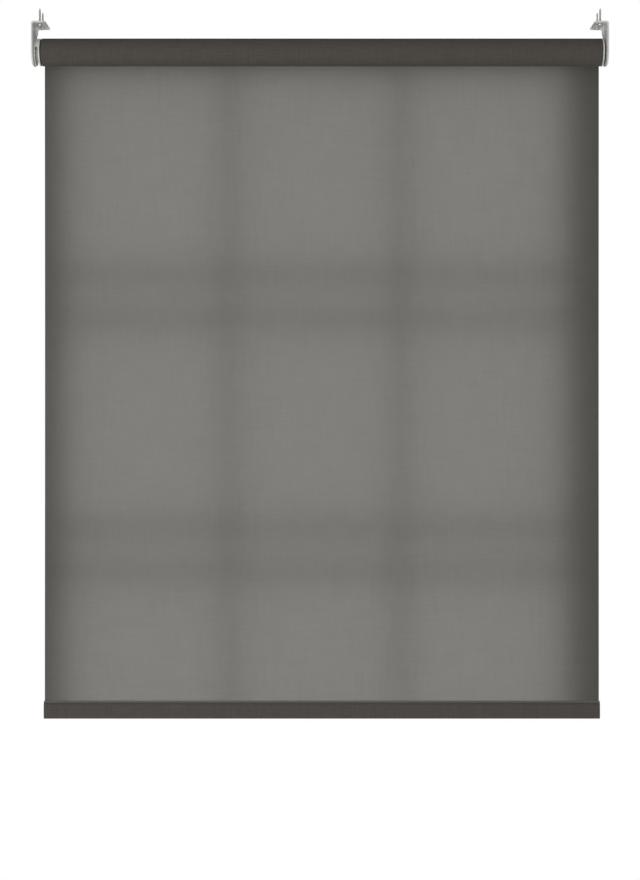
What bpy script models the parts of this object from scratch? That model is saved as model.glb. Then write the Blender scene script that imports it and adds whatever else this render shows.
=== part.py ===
"""Roller blind on two ceiling brackets, with a side control unit for a bead chain.

Metres, +Z up. X runs along the width, Y from the room towards the window. The origin is on
the ceiling plane at mid width, straight above the roller's axis. The control unit is at -X,
the sprung idle pin at +X, and the fabric hangs from the window side of the roll.
"""

import math

import bmesh
import bpy
from mathutils import Matrix, Vector

MM = 0.001

# Clearance between pieces that seat on, or run against, each other
GAP = 0.3 * MM

# Overall sizes
OVERALL_WIDTH = 900 * MM  # over the outer faces of the brackets
OVERALL_DROP = 1095 * MM  # from the ceiling to the bottom edge
AXIS_DROP = 43.8 * MM  # from the ceiling to the roller's axis

# Brackets: a top plate and an ear in one moulding
BRACKET_WALL = 2.4 * MM
BRACKET_REACH = 22 * MM  # top plate along the width
BRACKET_DEPTH = 58 * MM  # top plate from front to rear
BRACKET_HEIGHT = 66 * MM
EAR_REAR = 19 * MM  # the ear's rear edge behind the roller's axis
EAR_ROUND = 18 * MM
EAR_SHOULDER = 1.2 * MM  # rear strip of the ear left under the top plate
PLATE_ROUND = 6 * MM
CORNER_FILLET = 3 * MM
SCREW_SLOT_LENGTH = 8 * MM
SCREW_FRONT = -17 * MM
SCREW_REAR = 12 * MM
SIDE_HOLE_DROP = 12 * MM  # holes in the ear for fixing to a side wall
SIDE_HOLE_FRONT = -20 * MM
SIDE_HOLE_REAR = 12 * MM
SIDE_HOLE_RADIUS = 2.1 * MM

# Fixing screws
SCREW_RADIUS = 1.75 * MM
SCREW_LENGTH = 25 * MM
SCREW_TIP = 4 * MM
HEAD_RADIUS = 3.7 * MM
HEAD_HEIGHT = 2.6 * MM
RECESS_WIDTH = 0.9 * MM
RECESS_SPAN = 4.2 * MM
RECESS_DEPTH = 1.2 * MM

# Control unit: fixed core, chain guard and chain wheel
CORE_PLATE_WALL = 2.0 * MM
CHANNEL_WIDTH = 5.0 * MM  # room for the chain between the two cheeks
CHEEK_WALL = 2.0 * MM
GUARD_WALL = 1.6 * MM
BEAD_RADIUS = 2.25 * MM
BEAD_PITCH = 6.0 * MM
POCKETS = 16
BEAD_ROOM = 2.1 * MM  # from the bead to the guard's wall
GUARD_SKIRT = 4.9 * MM  # the guard's wall ends this far above the axis
KEY_DEPTH = 16 * MM  # key that locks the core into the ear
KEY_HEIGHT = 6 * MM
SHAFT_RADIUS = 9.9 * MM
SHAFT_LENGTH = 35.3 * MM
NECK_RADIUS = 6.0 * MM
NECK_LENGTH = 12.1 * MM
CORE_HOLE_RADIUS = 1.8 * MM
CORE_HOLE_DEPTH = 16 * MM
SPRING_WIRE = 1.2 * MM
SPRING_TURNS = 4
SPRING_LAY = 1.55 * MM  # distance between neighbouring turns
TANG_ANGLE = math.radians(66)  # from straight up
SLEEVE_WALL = 1.1 * MM
SLEEVE_ROOM = 0.6 * MM  # round the springs
SLEEVE_COLLAR = 10.6 * MM  # length of the wheel's full sleeve, before its finger
FINGER_RISE = 7.0 * MM  # the finger is what lies above this
RIB_WIDTH = 6 * MM  # rib in the drive plug that the spring tangs push
WASHER_RADIUS = 8.5 * MM
WASHER_WALL = 1.0 * MM
CORE_SCREW_RADIUS = 1.5 * MM
CORE_SCREW_LENGTH = 14 * MM
CORE_SCREW_HEAD = 3.8 * MM
CORE_SCREW_HEAD_HEIGHT = 2.4 * MM

# Roller tube, with a groove outside for the fabric and a rib inside that turns the plugs
TUBE_RADIUS = 20.0 * MM
TUBE_WALL = 1.2 * MM
GROOVE_WIDTH = 5.0 * MM
GROOVE_DEPTH = 1.8 * MM
DRIVE_FLANGE_WALL = 1.3 * MM
DRIVE_WEB_WALL = 11.5 * MM

# Idle end: plug, sprung pin and the retainer behind the spring
IDLE_GAP = 3.1 * MM  # from the ear to the plug's flange
IDLE_FLANGE_WALL = 2.0 * MM
IDLE_FLANGE_STEP = 0.3 * MM  # flange past the roll, in radius
IDLE_PLUG_LENGTH = 30.5 * MM  # inside the tube
IDLE_NOSE = 6.2 * MM  # solid end that the pin runs through
PIN_RADIUS = 4.0 * MM
PIN_CHAMFER = 0.6 * MM
PIN_COLLAR_STEP = 2.5 * MM
PIN_COLLAR_WALL = 2.0 * MM
PIN_TAIL_RADIUS = 2.5 * MM
PIN_TAIL_LENGTH = 22.5 * MM
PIN_SPRING_WIRE = 1.0 * MM
PIN_SPRING_TURNS = 7
RETAINER_DEPTH = 4.3 * MM
RETAINER_HEAD_WALL = 1.5 * MM
RETAINER_HEAD_STEP = 2.3 * MM

# Fabric and bottom bar
FABRIC = 0.45 * MM
WOUND = 1.2 * MM  # thickness of the fabric wound on the tube
FABRIC_INSET = 0.3 * MM  # tube past the fabric at each end
BAR_HEIGHT = 28.2 * MM
POCKET_DEPTH = 6.4 * MM
POCKET_WALL = 0.6 * MM
POCKET_NECK = 1.4 * MM  # thickness where the pocket is welded to itself
POCKET_TAPER = 4 * MM
POCKET_ROUND = 2.6 * MM
LATH_HEIGHT = 22 * MM
LATH_WALL = 1.0 * MM
CAP_WALL = 1.2 * MM
CAP_TONGUE = 14 * MM

# Facets of a full turn
FINE, COARSE, COIL = 40, 20, 12

# Stations along the width, from the control side to the idle side
CONTROL_EAR = -OVERALL_WIDTH / 2 + BRACKET_WALL
CORE_BACK = CONTROL_EAR + GAP
CHANNEL_START = CORE_BACK + CORE_PLATE_WALL
CHANNEL_END = CHANNEL_START + CHANNEL_WIDTH
CHEEK_END = CHANNEL_END + CHEEK_WALL
DRIVE_FLANGE = CHEEK_END + GAP
TUBE_START = DRIVE_FLANGE + DRIVE_FLANGE_WALL + GAP
FABRIC_START = TUBE_START + FABRIC_INSET
IDLE_EAR = OVERALL_WIDTH / 2 - BRACKET_WALL
IDLE_FLANGE = IDLE_EAR - IDLE_GAP
TUBE_END = IDLE_FLANGE - IDLE_FLANGE_WALL - GAP
FABRIC_END = TUBE_END - FABRIC_INSET
SHAFT_END = CHANNEL_START + SHAFT_LENGTH
NECK_END = SHAFT_END + NECK_LENGTH

# Radii and heights that follow from those above
PITCH_RADIUS = BEAD_PITCH * POCKETS / (2 * math.pi)
WHEEL_RADIUS = PITCH_RADIUS + BEAD_RADIUS * 0.6
GUARD_RADIUS = PITCH_RADIUS + BEAD_RADIUS + BEAD_ROOM + GUARD_WALL
SPRING_RADIUS = SHAFT_RADIUS + GAP + SPRING_WIRE / 2
SLEEVE_BORE = SPRING_RADIUS + SPRING_WIRE / 2 + SLEEVE_ROOM
SLEEVE_RADIUS = SLEEVE_BORE + SLEEVE_WALL
DRIVE_BORE = SLEEVE_RADIUS + GAP
TUBE_BORE = TUBE_RADIUS - TUBE_WALL
ROLL_RADIUS = TUBE_RADIUS + GAP + WOUND
PLUG_RADIUS = TUBE_BORE - GAP
GROOVE_FLOOR = TUBE_RADIUS - GROOVE_DEPTH
RIB_TIP = GROOVE_FLOOR - TUBE_WALL
IDLE_FLANGE_RADIUS = ROLL_RADIUS + IDLE_FLANGE_STEP
PIN_BORE = PIN_RADIUS + GAP
PIN_COLLAR_RADIUS = PIN_RADIUS + PIN_COLLAR_STEP
CHAMBER_RADIUS = PIN_COLLAR_RADIUS + 2 * GAP
SHEET_FRONT = ROLL_RADIUS + GAP
SHEET_MIDDLE = SHEET_FRONT + FABRIC / 2
BAR_TOP = -OVERALL_DROP + BAR_HEIGHT


def empty_scene():
    for obj in list(bpy.data.objects):
        bpy.data.objects.remove(obj, do_unlink=True)


def collection(name):
    made = bpy.data.collections.new(name)
    bpy.context.scene.collection.children.link(made)
    return made


def finish(name, colour, roughness, metallic=0.0):
    """A plain Principled material."""
    made = bpy.data.materials.new(name)
    made.use_nodes = True
    shader = made.node_tree.nodes["Principled BSDF"]
    shader.inputs["Base Color"].default_value = (*colour, 1.0)
    shader.inputs["Roughness"].default_value = roughness
    shader.inputs["Metallic"].default_value = metallic
    return made


def mount_point(name, location):
    """An empty that carries the pieces of one moving group."""
    made = bpy.data.objects.new(name, None)
    made.location = location
    PARTS.objects.link(made)
    return made


def add(obj, material, parent):
    """Puts a piece into the blind, on its group's empty."""
    obj.data.materials.append(material)
    obj.parent = parent
    PARTS.objects.link(obj)
    return obj


def cutter(obj, parent):
    """Keeps a cutter out of renders, in the place of the piece that it cuts."""
    obj.parent = parent
    obj.hide_render = True
    obj.display_type = "WIRE"
    CUTTERS.objects.link(obj)
    return obj


def combine(obj, tool, operation="DIFFERENCE"):
    step = obj.modifiers.new(tool.name, "BOOLEAN")
    step.operation = operation
    step.solver = "EXACT"
    step.object = tool


def smooth(mesh):
    mesh.shade_smooth()
    mesh.set_sharp_from_angle(angle=math.radians(35))


def turned(name, profile, facets=FINE, closed=False, along_x=True):
    """A lathe shape. The profile's (radius, height) points run from the high end down its outer
    side; a closed profile makes a ring. The lathe axis lies along X, or along Z."""
    mesh = bpy.data.meshes.new(name)
    last = len(profile) if closed else len(profile) - 1
    edges = [(i, (i + 1) % len(profile)) for i in range(last)]
    mesh.from_pydata([(radius, 0.0, height) for radius, height in profile], edges, [])
    obj = bpy.data.objects.new(name, mesh)
    screw = obj.modifiers.new("turn", "SCREW")
    screw.axis = "Z"
    screw.angle = 2 * math.pi
    screw.steps = screw.render_steps = facets
    screw.use_merge_vertices = True
    screw.merge_threshold = 0.00001
    if along_x:
        obj.rotation_euler = (0.0, math.pi / 2, 0.0)
    return obj


def rounded(corners, steps=6):
    """An outline from (x, y, radius) corners, each one rounded by an arc of its radius."""
    outline = []
    for i, (x, y, radius) in enumerate(corners):
        corner = Vector((x, y))
        if radius == 0:
            outline.append(corner)
            continue
        back = (Vector(corners[i - 1][:2]) - corner).normalized()
        ahead = (Vector(corners[(i + 1) % len(corners)][:2]) - corner).normalized()
        half = back.angle(ahead) / 2
        centre = corner + (back + ahead).normalized() * (radius / math.sin(half))
        start = corner + back * (radius / math.tan(half)) - centre
        end = corner + ahead * (radius / math.tan(half)) - centre
        first = math.atan2(start.y, start.x)
        turn = (math.atan2(end.y, end.x) - first + math.pi) % (2 * math.pi) - math.pi
        for k in range(steps + 1):
            angle = first + turn * k / steps
            outline.append(centre + radius * Vector((math.cos(angle), math.sin(angle))))
    return outline


def arc(radius, first, last, steps):
    """Points on a circle about the origin, from one angle to another."""
    angles = (first + (last - first) * k / steps for k in range(steps + 1))
    return [Vector((radius * math.cos(a), radius * math.sin(a))) for a in angles]


# The world directions of an outline's two coordinates and of its extrusion
FACING = {
    "X": Matrix(((0, 0, 1), (1, 0, 0), (0, 1, 0))),
    "Y": Matrix(((1, 0, 0), (0, 0, -1), (0, 1, 0))),
    "Z": Matrix.Identity(3),
}


def extruded(name, outlines, facing, low, high):
    """A flat outline, less any outlines inside it, extruded along one axis from low to high."""
    curve = bpy.data.curves.new(name, "CURVE")
    curve.dimensions = "2D"
    curve.fill_mode = "BOTH"
    curve.extrude = (high - low) / 2
    for outline in outlines:
        spline = curve.splines.new("POLY")
        spline.points.add(len(outline) - 1)
        for point, at in zip(spline.points, outline):
            point.co = (at.x, at.y, 0.0, 1.0)
        spline.use_cyclic_u = True
    flat = bpy.data.objects.new(name, curve)
    bpy.context.scene.collection.objects.link(flat)
    graph = bpy.context.evaluated_depsgraph_get()
    mesh = bpy.data.meshes.new_from_object(flat.evaluated_get(graph))
    bpy.data.objects.remove(flat, do_unlink=True)
    mesh.name = name
    shape = bmesh.new()
    shape.from_mesh(mesh)
    bmesh.ops.remove_doubles(shape, verts=shape.verts, dist=1e-6)
    bmesh.ops.recalc_face_normals(shape, faces=shape.faces)
    shape.to_mesh(mesh)
    shape.free()
    obj = bpy.data.objects.new(name, mesh)
    middle = {"X": (1, 0, 0), "Y": (0, 1, 0), "Z": (0, 0, 1)}[facing]
    obj.location = Vector(middle) * (low + high) / 2
    obj.rotation_euler = FACING[facing].to_euler()
    return obj


def block(name, low, high):
    """A box between two corners."""
    shape = bmesh.new()
    size = [b - a for a, b in zip(low, high)]
    centre = [(a + b) / 2 for a, b in zip(low, high)]
    place = Matrix.Translation(centre) @ Matrix.Diagonal((*size, 1.0))
    bmesh.ops.create_cube(shape, size=1.0, matrix=place)
    mesh = bpy.data.meshes.new(name)
    shape.to_mesh(mesh)
    shape.free()
    return bpy.data.objects.new(name, mesh)


def wire(name, points, radius):
    """A round wire through a list of points."""
    curve = bpy.data.curves.new(name, "CURVE")
    curve.dimensions = "3D"
    curve.bevel_depth = radius
    curve.bevel_resolution = 2
    curve.use_fill_caps = True
    spline = curve.splines.new("POLY")
    spline.points.add(len(points) - 1)
    for point, at in zip(spline.points, points):
        point.co = (*at, 1.0)
    return bpy.data.objects.new(name, curve)


def coil(start, lay, turns, radius, first_angle, hand=1):
    """Points of a coil along X whose chords touch the radius from outside. Angles are from
    straight up, towards +Y for hand 1."""
    points = []
    corner = radius / math.cos(math.pi / COIL)
    for k in range(turns * COIL + 1):
        angle = first_angle + hand * 2 * math.pi * k / COIL
        along = start + lay * k / COIL
        points.append((along, corner * math.sin(angle), corner * math.cos(angle)))
    return points


def hole(name, centre, radius, facing, low, high):
    """A round cutter along one axis, at (x, y), (y, z) or (x, z) of its plane."""
    outline = [Vector(centre) + point for point in arc(radius, 0, 2 * math.pi, COARSE)[:-1]]
    return extruded(name, [outline], facing, low, high)


def bracket(name, side):
    """An L bracket, with slots in its top plate and two holes for fixing to a side wall."""
    outer = side * OVERALL_WIDTH / 2
    face = side * (OVERALL_WIDTH / 2 - BRACKET_WALL)
    end = side * (OVERALL_WIDTH / 2 - BRACKET_REACH)
    spare = side * 2 * MM
    half = BRACKET_DEPTH / 2
    shoulder = -BRACKET_WALL - EAR_SHOULDER
    bend = rounded(
        [
            (outer, 0, 0),
            (end - spare, 0, 0),
            (end - spare, -BRACKET_WALL, 0),
            (face, -BRACKET_WALL, CORNER_FILLET),
            (face, -BRACKET_HEIGHT - abs(spare), 0),
            (outer, -BRACKET_HEIGHT - abs(spare), 0),
        ]
    )
    body = extruded(name, [bend], "Y", -half - abs(spare), half + abs(spare))
    ear = rounded(
        [
            (-half, abs(spare), 0),
            (half, abs(spare), 0),
            (half, shoulder, 0),
            (EAR_REAR, shoulder, 0),
            (EAR_REAR, -BRACKET_HEIGHT, EAR_ROUND),
            (-half, -BRACKET_HEIGHT, EAR_ROUND),
        ],
        steps=8,
    )
    reach = sorted((outer + spare, end - 2 * spare))
    ear_tool = cutter(extruded(name + "_ear_shape", [ear], "X", *reach), None)
    combine(body, ear_tool, "INTERSECT")
    plate = rounded(
        [
            (outer + spare, -half - abs(spare), 0),
            (outer + spare, half + abs(spare), 0),
            (end, half + abs(spare), PLATE_ROUND + abs(spare)),
            (end, -half - abs(spare), PLATE_ROUND + abs(spare)),
        ]
    )
    height = (-BRACKET_HEIGHT - 2 * abs(spare), 2 * abs(spare))
    plate_tool = cutter(extruded(name + "_plate_shape", [plate], "Z", *height), None)
    combine(body, plate_tool, "INTERSECT")
    through = (-BRACKET_WALL - 2 * MM, 2 * MM)
    for place, y in (("front", SCREW_FRONT), ("rear", SCREW_REAR)):
        width = SCREW_RADIUS + GAP
        slot = rounded(
            [
                (x, y + rise, width)
                for x, rise in (
                    (slot_middle(side) - SCREW_SLOT_LENGTH / 2, -width),
                    (slot_middle(side) + SCREW_SLOT_LENGTH / 2, -width),
                    (slot_middle(side) + SCREW_SLOT_LENGTH / 2, width),
                    (slot_middle(side) - SCREW_SLOT_LENGTH / 2, width),
                )
            ],
            steps=5,
        )
        tool = extruded(f"{name}_{place}_slot", [slot], "Z", *through)
        combine(body, cutter(tool, None))
    across = sorted((outer + spare, face - spare))
    for place, y in (("front", SIDE_HOLE_FRONT), ("rear", SIDE_HOLE_REAR)):
        tool = hole(f"{name}_{place}_hole", (y, -SIDE_HOLE_DROP), SIDE_HOLE_RADIUS, "X", *across)
        combine(body, cutter(tool, None))
    return body


def slot_middle(side):
    """Where the fixing screws stand along the width: midway between ear and plate end."""
    return side * (OVERALL_WIDTH / 2 - (BRACKET_WALL + BRACKET_REACH) / 2)


def fixing_screw(name, side, y, material):
    """A pan-head wood screw, driven up through the bracket's top plate."""
    seat = -BRACKET_WALL - GAP
    dome = [
        (HEAD_RADIUS * math.cos(a), seat - HEAD_HEIGHT * (0.35 + 0.65 * math.sin(a)))
        for a in (math.radians(90 * k / 5) for k in range(6))
    ]
    profile = [
        (0.0, seat + SCREW_LENGTH),
        (SCREW_RADIUS, seat + SCREW_LENGTH - SCREW_TIP),
        (SCREW_RADIUS, seat),
        (HEAD_RADIUS, seat),
        *dome[:-1],
        (0.0, seat - HEAD_HEIGHT),
    ]
    screw = turned(name, profile, COARSE, along_x=False)
    smooth(screw.data)
    add(screw, material, None)
    screw.location = (slot_middle(side), y, 0.0)
    bottom = seat - HEAD_HEIGHT
    for turn in (0, 1):
        half = (RECESS_SPAN / 2, RECESS_WIDTH / 2)
        x, depth = half if turn == 0 else half[::-1]
        low, high = (-x, -depth, bottom - MM), (x, depth, bottom + RECESS_DEPTH)
        combine(screw, cutter(block(f"{name}_recess_{turn}", low, high), screw))


def control_bracket(material):
    """The bracket at the control side, with a slot for the core's key."""
    body = add(bracket("control_bracket", -1), material, None)
    y, z = KEY_DEPTH / 2 + GAP, KEY_HEIGHT / 2 + GAP
    low = (-OVERALL_WIDTH / 2 - MM, -y, -AXIS_DROP - z)
    high = (CONTROL_EAR + MM, y, -AXIS_DROP + z)
    combine(body, cutter(block("key_slot", low, high), None))


def idle_bracket(material):
    """The bracket at the idle side, with a round hole for the sprung pin."""
    body = add(bracket("idle_bracket", 1), material, None)
    through = (IDLE_EAR - MM, OVERALL_WIDTH / 2 + MM)
    tool = hole("pin_hole", (0, -AXIS_DROP), PIN_RADIUS + GAP, "X", *through)
    combine(body, cutter(tool, None))


def control_core(material, axis):
    """The fixed half of the control unit: back plate, shaft and neck, keyed into the ear."""
    profile = [
        (0.0, NECK_END - CORE_HOLE_DEPTH),
        (CORE_HOLE_RADIUS, NECK_END - CORE_HOLE_DEPTH),
        (CORE_HOLE_RADIUS, NECK_END),
        (NECK_RADIUS, NECK_END),
        (NECK_RADIUS, SHAFT_END),
        (SHAFT_RADIUS, SHAFT_END),
        (SHAFT_RADIUS, CHANNEL_START),
        (GUARD_RADIUS, CHANNEL_START),
        (GUARD_RADIUS, CORE_BACK),
        (0.0, CORE_BACK),
    ]
    core = add(turned("control_core", profile), material, axis)
    low = (-OVERALL_WIDTH / 2 + GAP, -KEY_DEPTH / 2, -KEY_HEIGHT / 2)
    high = (CORE_BACK + CORE_PLATE_WALL / 2, KEY_DEPTH / 2, KEY_HEIGHT / 2)
    combine(core, cutter(block("core_key", low, high), axis), "UNION")


def chain_guard(material, axis):
    """The cover over the chain wheel: a cheek and a wall over the top, open below."""
    bore = SLEEVE_RADIUS + GAP
    profile = [
        (bore, CHEEK_END),
        (GUARD_RADIUS, CHEEK_END),
        (GUARD_RADIUS, CHANNEL_START + GAP),
        (GUARD_RADIUS - GUARD_WALL, CHANNEL_START + GAP),
        (GUARD_RADIUS - GUARD_WALL, CHANNEL_END),
        (bore, CHANNEL_END),
    ]
    guard = add(turned("chain_guard", profile, closed=True), material, axis)
    wide = GUARD_RADIUS + MM
    low, high = (CHANNEL_START - MM, -wide, -wide), (CHANNEL_END, wide, GUARD_SKIRT)
    combine(guard, cutter(block("chain_exit", low, high), axis))


def chain_wheel(material, axis):
    """The wheel with a pocket for each bead, and the sleeve that turns the springs."""
    start, end = CHANNEL_START + GAP, CHANNEL_END - GAP
    collar, tip = end + SLEEVE_COLLAR, SHAFT_END - GAP
    bore = SHAFT_RADIUS + GAP
    profile = [
        (SLEEVE_BORE, tip),
        (SLEEVE_RADIUS, tip),
        (SLEEVE_RADIUS, end),
        (WHEEL_RADIUS, end),
        (WHEEL_RADIUS, start),
        (bore, start),
        (bore, collar),
        (SLEEVE_BORE, collar),
    ]
    wheel = add(turned("chain_wheel", profile, closed=True), material, axis)
    wide = SLEEVE_RADIUS + MM
    low, high = (collar, -wide, -wide), (tip + MM, wide, FINGER_RISE)
    combine(wheel, cutter(block("finger_cut", low, high), axis))
    for k in range(POCKETS):
        angle = 2 * math.pi * k / POCKETS
        pocket = bmesh.new()
        bmesh.ops.create_uvsphere(pocket, u_segments=6, v_segments=5, radius=BEAD_RADIUS + GAP)
        mesh = bpy.data.meshes.new(f"pocket_{k}")
        pocket.to_mesh(mesh)
        pocket.free()
        tool = bpy.data.objects.new(mesh.name, mesh)
        tool.rotation_euler = (-angle, 0.0, 0.0)
        place = (PITCH_RADIUS * math.sin(angle), PITCH_RADIUS * math.cos(angle))
        tool.location = ((start + end) / 2, *place)
        combine(wheel, cutter(tool, axis))


def wrap_spring(name, start, hand, material, axis):
    """A coil that grips the fixed shaft unless one of its tangs is pushed."""
    points = coil(start, SPRING_LAY, SPRING_TURNS, SPRING_RADIUS, hand * TANG_ANGLE, hand)
    tang = SLEEVE_RADIUS - SPRING_WIRE / 2
    ends = []
    for along, y, z in (points[0], points[-1]):
        out = tang / math.hypot(y, z)
        ends.append((along, y * out, z * out))
    add(wire(name, [ends[0], *points, ends[1]], SPRING_WIRE / 2), material, axis)


def drive_plug(material, axis):
    """The driven half of the control unit, which turns the tube by its inner rib."""
    web = SHAFT_END + GAP
    end = web + DRIVE_WEB_WALL
    profile = [
        (NECK_RADIUS + GAP, end),
        (PLUG_RADIUS, end),
        (PLUG_RADIUS, TUBE_START - GAP),
        (TUBE_RADIUS, TUBE_START - GAP),
        (TUBE_RADIUS, DRIVE_FLANGE),
        (DRIVE_BORE, DRIVE_FLANGE),
        (DRIVE_BORE, web),
        (NECK_RADIUS + GAP, web),
    ]
    plug = add(turned("drive_plug", profile, closed=True), material, axis)
    combine(plug, cutter(keyway("drive_keyway", TUBE_START - GAP, end + MM), axis))
    collar = CHANNEL_END - GAP + SLEEVE_COLLAR
    low = (collar + GAP, -RIB_WIDTH / 2, -DRIVE_BORE - GAP)
    high = (web + MM, RIB_WIDTH / 2, -SLEEVE_BORE)
    combine(plug, cutter(block("tang_rib", low, high), axis), "UNION")


def keyway(name, low, high):
    """The space that the tube's inner rib takes up in a plug."""
    half = GROOVE_WIDTH / 2 + TUBE_WALL + GAP
    return block(name, (low, -half, RIB_TIP - GAP), (high, half, TUBE_RADIUS + MM))


def core_washer(material, axis):
    start = NECK_END + GAP
    ring = [
        (CORE_HOLE_RADIUS, start + WASHER_WALL),
        (WASHER_RADIUS, start + WASHER_WALL),
        (WASHER_RADIUS, start),
        (CORE_HOLE_RADIUS, start),
    ]
    add(turned("core_washer", ring, COARSE, closed=True), material, axis)


def core_screw(material, axis):
    seat = NECK_END + GAP + WASHER_WALL + GAP
    top = seat + CORE_SCREW_HEAD_HEIGHT
    profile = [
        (0.0, top),
        (CORE_SCREW_HEAD * 0.8, top),
        (CORE_SCREW_HEAD, top - CORE_SCREW_HEAD_HEIGHT / 3),
        (CORE_SCREW_HEAD, seat),
        (CORE_SCREW_RADIUS, seat),
        (CORE_SCREW_RADIUS, seat - CORE_SCREW_LENGTH),
        (0.0, seat - CORE_SCREW_LENGTH),
    ]
    screw = add(turned("core_screw", profile, COARSE), material, axis)
    half = RECESS_SPAN / 2
    low, high = (top - RECESS_DEPTH, -half, -RECESS_WIDTH / 2), (top + MM, half, RECESS_WIDTH / 2)
    combine(screw, cutter(block("core_screw_slot", low, high), axis))


def roller_tube(material, axis):
    """The extruded tube. Its groove is at the top, over the rib inside."""
    half = GROOVE_WIDTH / 2
    edge = math.asin(half / TUBE_RADIUS)
    rib = half + TUBE_WALL
    root = math.asin(rib / TUBE_BORE)
    up = math.pi / 2
    outside = arc(TUBE_RADIUS, up + edge, up + 2 * math.pi - edge, FINE)
    outside += [Vector((half, GROOVE_FLOOR)), Vector((-half, GROOVE_FLOOR))]
    inside = arc(TUBE_BORE, up + root, up + 2 * math.pi - root, FINE)
    inside += [Vector((rib, RIB_TIP)), Vector((-rib, RIB_TIP))]
    tube = extruded("roller_tube", [outside, inside], "X", TUBE_START, TUBE_END)
    smooth(tube.data)
    add(tube, material, axis)


def fabric_spline(material, axis):
    """The strip that locks the fabric's top edge into the tube's groove."""
    half = GROOVE_WIDTH / 2 - GAP
    low = (FABRIC_START, -half, GROOVE_FLOOR + GAP)
    high = (FABRIC_END, half, TUBE_RADIUS - GAP)
    add(block("fabric_spline", low, high), material, axis)


def fabric_roll(material, axis):
    """The fabric wound on the tube, as one ring of its layers."""
    inner = TUBE_RADIUS + GAP
    ring = [
        (inner, FABRIC_END),
        (ROLL_RADIUS, FABRIC_END),
        (ROLL_RADIUS, FABRIC_START),
        (inner, FABRIC_START),
    ]
    roll = turned("fabric_roll", ring, closed=True)
    smooth(roll.data)
    add(roll, material, axis)


def idle_plug(material, axis):
    """The plug in the idle end, with a flange beside the fabric and a chamber for the pin."""
    rear = IDLE_FLANGE - IDLE_FLANGE_WALL - IDLE_PLUG_LENGTH
    nose = IDLE_FLANGE - IDLE_NOSE
    profile = [
        (PIN_BORE, IDLE_FLANGE),
        (IDLE_FLANGE_RADIUS, IDLE_FLANGE),
        (IDLE_FLANGE_RADIUS, IDLE_FLANGE - IDLE_FLANGE_WALL),
        (PLUG_RADIUS, IDLE_FLANGE - IDLE_FLANGE_WALL),
        (PLUG_RADIUS, rear),
        (CHAMBER_RADIUS, rear),
        (CHAMBER_RADIUS, nose),
        (PIN_BORE, nose),
    ]
    plug = add(turned("idle_plug", profile, closed=True), material, axis)
    tool = keyway("idle_keyway", rear - MM, IDLE_FLANGE - IDLE_FLANGE_WALL)
    combine(plug, cutter(tool, axis))


def idle_pin(material, axis):
    """The pin that stands in the bracket, with a collar for its spring and a guide tail."""
    collar = IDLE_FLANGE - IDLE_NOSE - GAP
    tip = OVERALL_WIDTH / 2 - GAP
    back = collar - PIN_COLLAR_WALL
    profile = [
        (0.0, tip),
        (PIN_RADIUS - PIN_CHAMFER, tip),
        (PIN_RADIUS, tip - PIN_CHAMFER),
        (PIN_RADIUS, collar),
        (PIN_COLLAR_RADIUS, collar),
        (PIN_COLLAR_RADIUS, back),
        (PIN_TAIL_RADIUS, back),
        (PIN_TAIL_RADIUS, back - PIN_TAIL_LENGTH),
        (0.0, back - PIN_TAIL_LENGTH),
    ]
    add(turned("idle_pin", profile, COARSE), material, axis)


def idle_spring_retainer(material, axis):
    """The stepped ring that closes the chamber and carries the spring."""
    rear = IDLE_FLANGE - IDLE_FLANGE_WALL - IDLE_PLUG_LENGTH
    head = rear - GAP
    body = CHAMBER_RADIUS - GAP
    bore = PIN_TAIL_RADIUS + GAP
    ring = [
        (bore, head + RETAINER_DEPTH),
        (body, head + RETAINER_DEPTH),
        (body, head),
        (body + RETAINER_HEAD_STEP, head),
        (body + RETAINER_HEAD_STEP, head - RETAINER_HEAD_WALL),
        (bore, head - RETAINER_HEAD_WALL),
    ]
    add(turned("idle_spring_retainer", ring, COARSE, closed=True), material, axis)


def idle_pin_spring(material, axis):
    """The spring between the retainer and the pin's collar."""
    wire_radius = PIN_SPRING_WIRE / 2
    seat = IDLE_FLANGE - IDLE_FLANGE_WALL - IDLE_PLUG_LENGTH - GAP + RETAINER_DEPTH
    collar = IDLE_FLANGE - IDLE_NOSE - GAP - PIN_COLLAR_WALL
    start, end = seat + GAP + wire_radius, collar - GAP - wire_radius
    radius = (PIN_TAIL_RADIUS + CHAMBER_RADIUS) / 2
    lay = (end - start) / PIN_SPRING_TURNS
    points = coil(start, lay, PIN_SPRING_TURNS, radius, 0.0)
    add(wire("idle_pin_spring", points, wire_radius), material, axis)


def fabric_sheet(material):
    """The length of fabric between the roll and the bottom bar."""
    low = (FABRIC_START, SHEET_FRONT, BAR_TOP + GAP)
    high = (FABRIC_END, SHEET_FRONT + FABRIC, -AXIS_DROP)
    add(block("fabric_sheet", low, high), material, None)


def pocket_outline(inset):
    """The bar's section: round below, and drawn in to the welded neck above."""
    half = POCKET_DEPTH / 2 - inset
    neck = POCKET_NECK / 2
    top = BAR_HEIGHT - (inset if inset == 0 else inset + POCKET_NECK)
    shoulder = BAR_HEIGHT - POCKET_TAPER - inset
    return rounded(
        [
            (-half, inset, POCKET_ROUND - inset),
            (half, inset, POCKET_ROUND - inset),
            (half, shoulder, 0),
            (neck, top, 0),
            (-neck, top, 0),
            (-half, shoulder, 0),
        ],
        steps=5,
    )


def bottom_pocket(material, bar):
    """The fabric folded round the lath and welded to itself."""
    sections = [pocket_outline(0), pocket_outline(POCKET_WALL)]
    add(extruded("bottom_pocket", sections, "X", FABRIC_START, FABRIC_END), material, bar)


def lath_outline(inset):
    half = POCKET_DEPTH / 2 - POCKET_WALL - GAP - inset
    low = POCKET_WALL + GAP + inset
    high = POCKET_WALL + GAP + LATH_HEIGHT - inset
    corner = half * 0.7
    corners = [(-half, low), (half, low), (half, high), (-half, high)]
    return rounded([(y, z, corner) for y, z in corners], steps=3)


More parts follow.
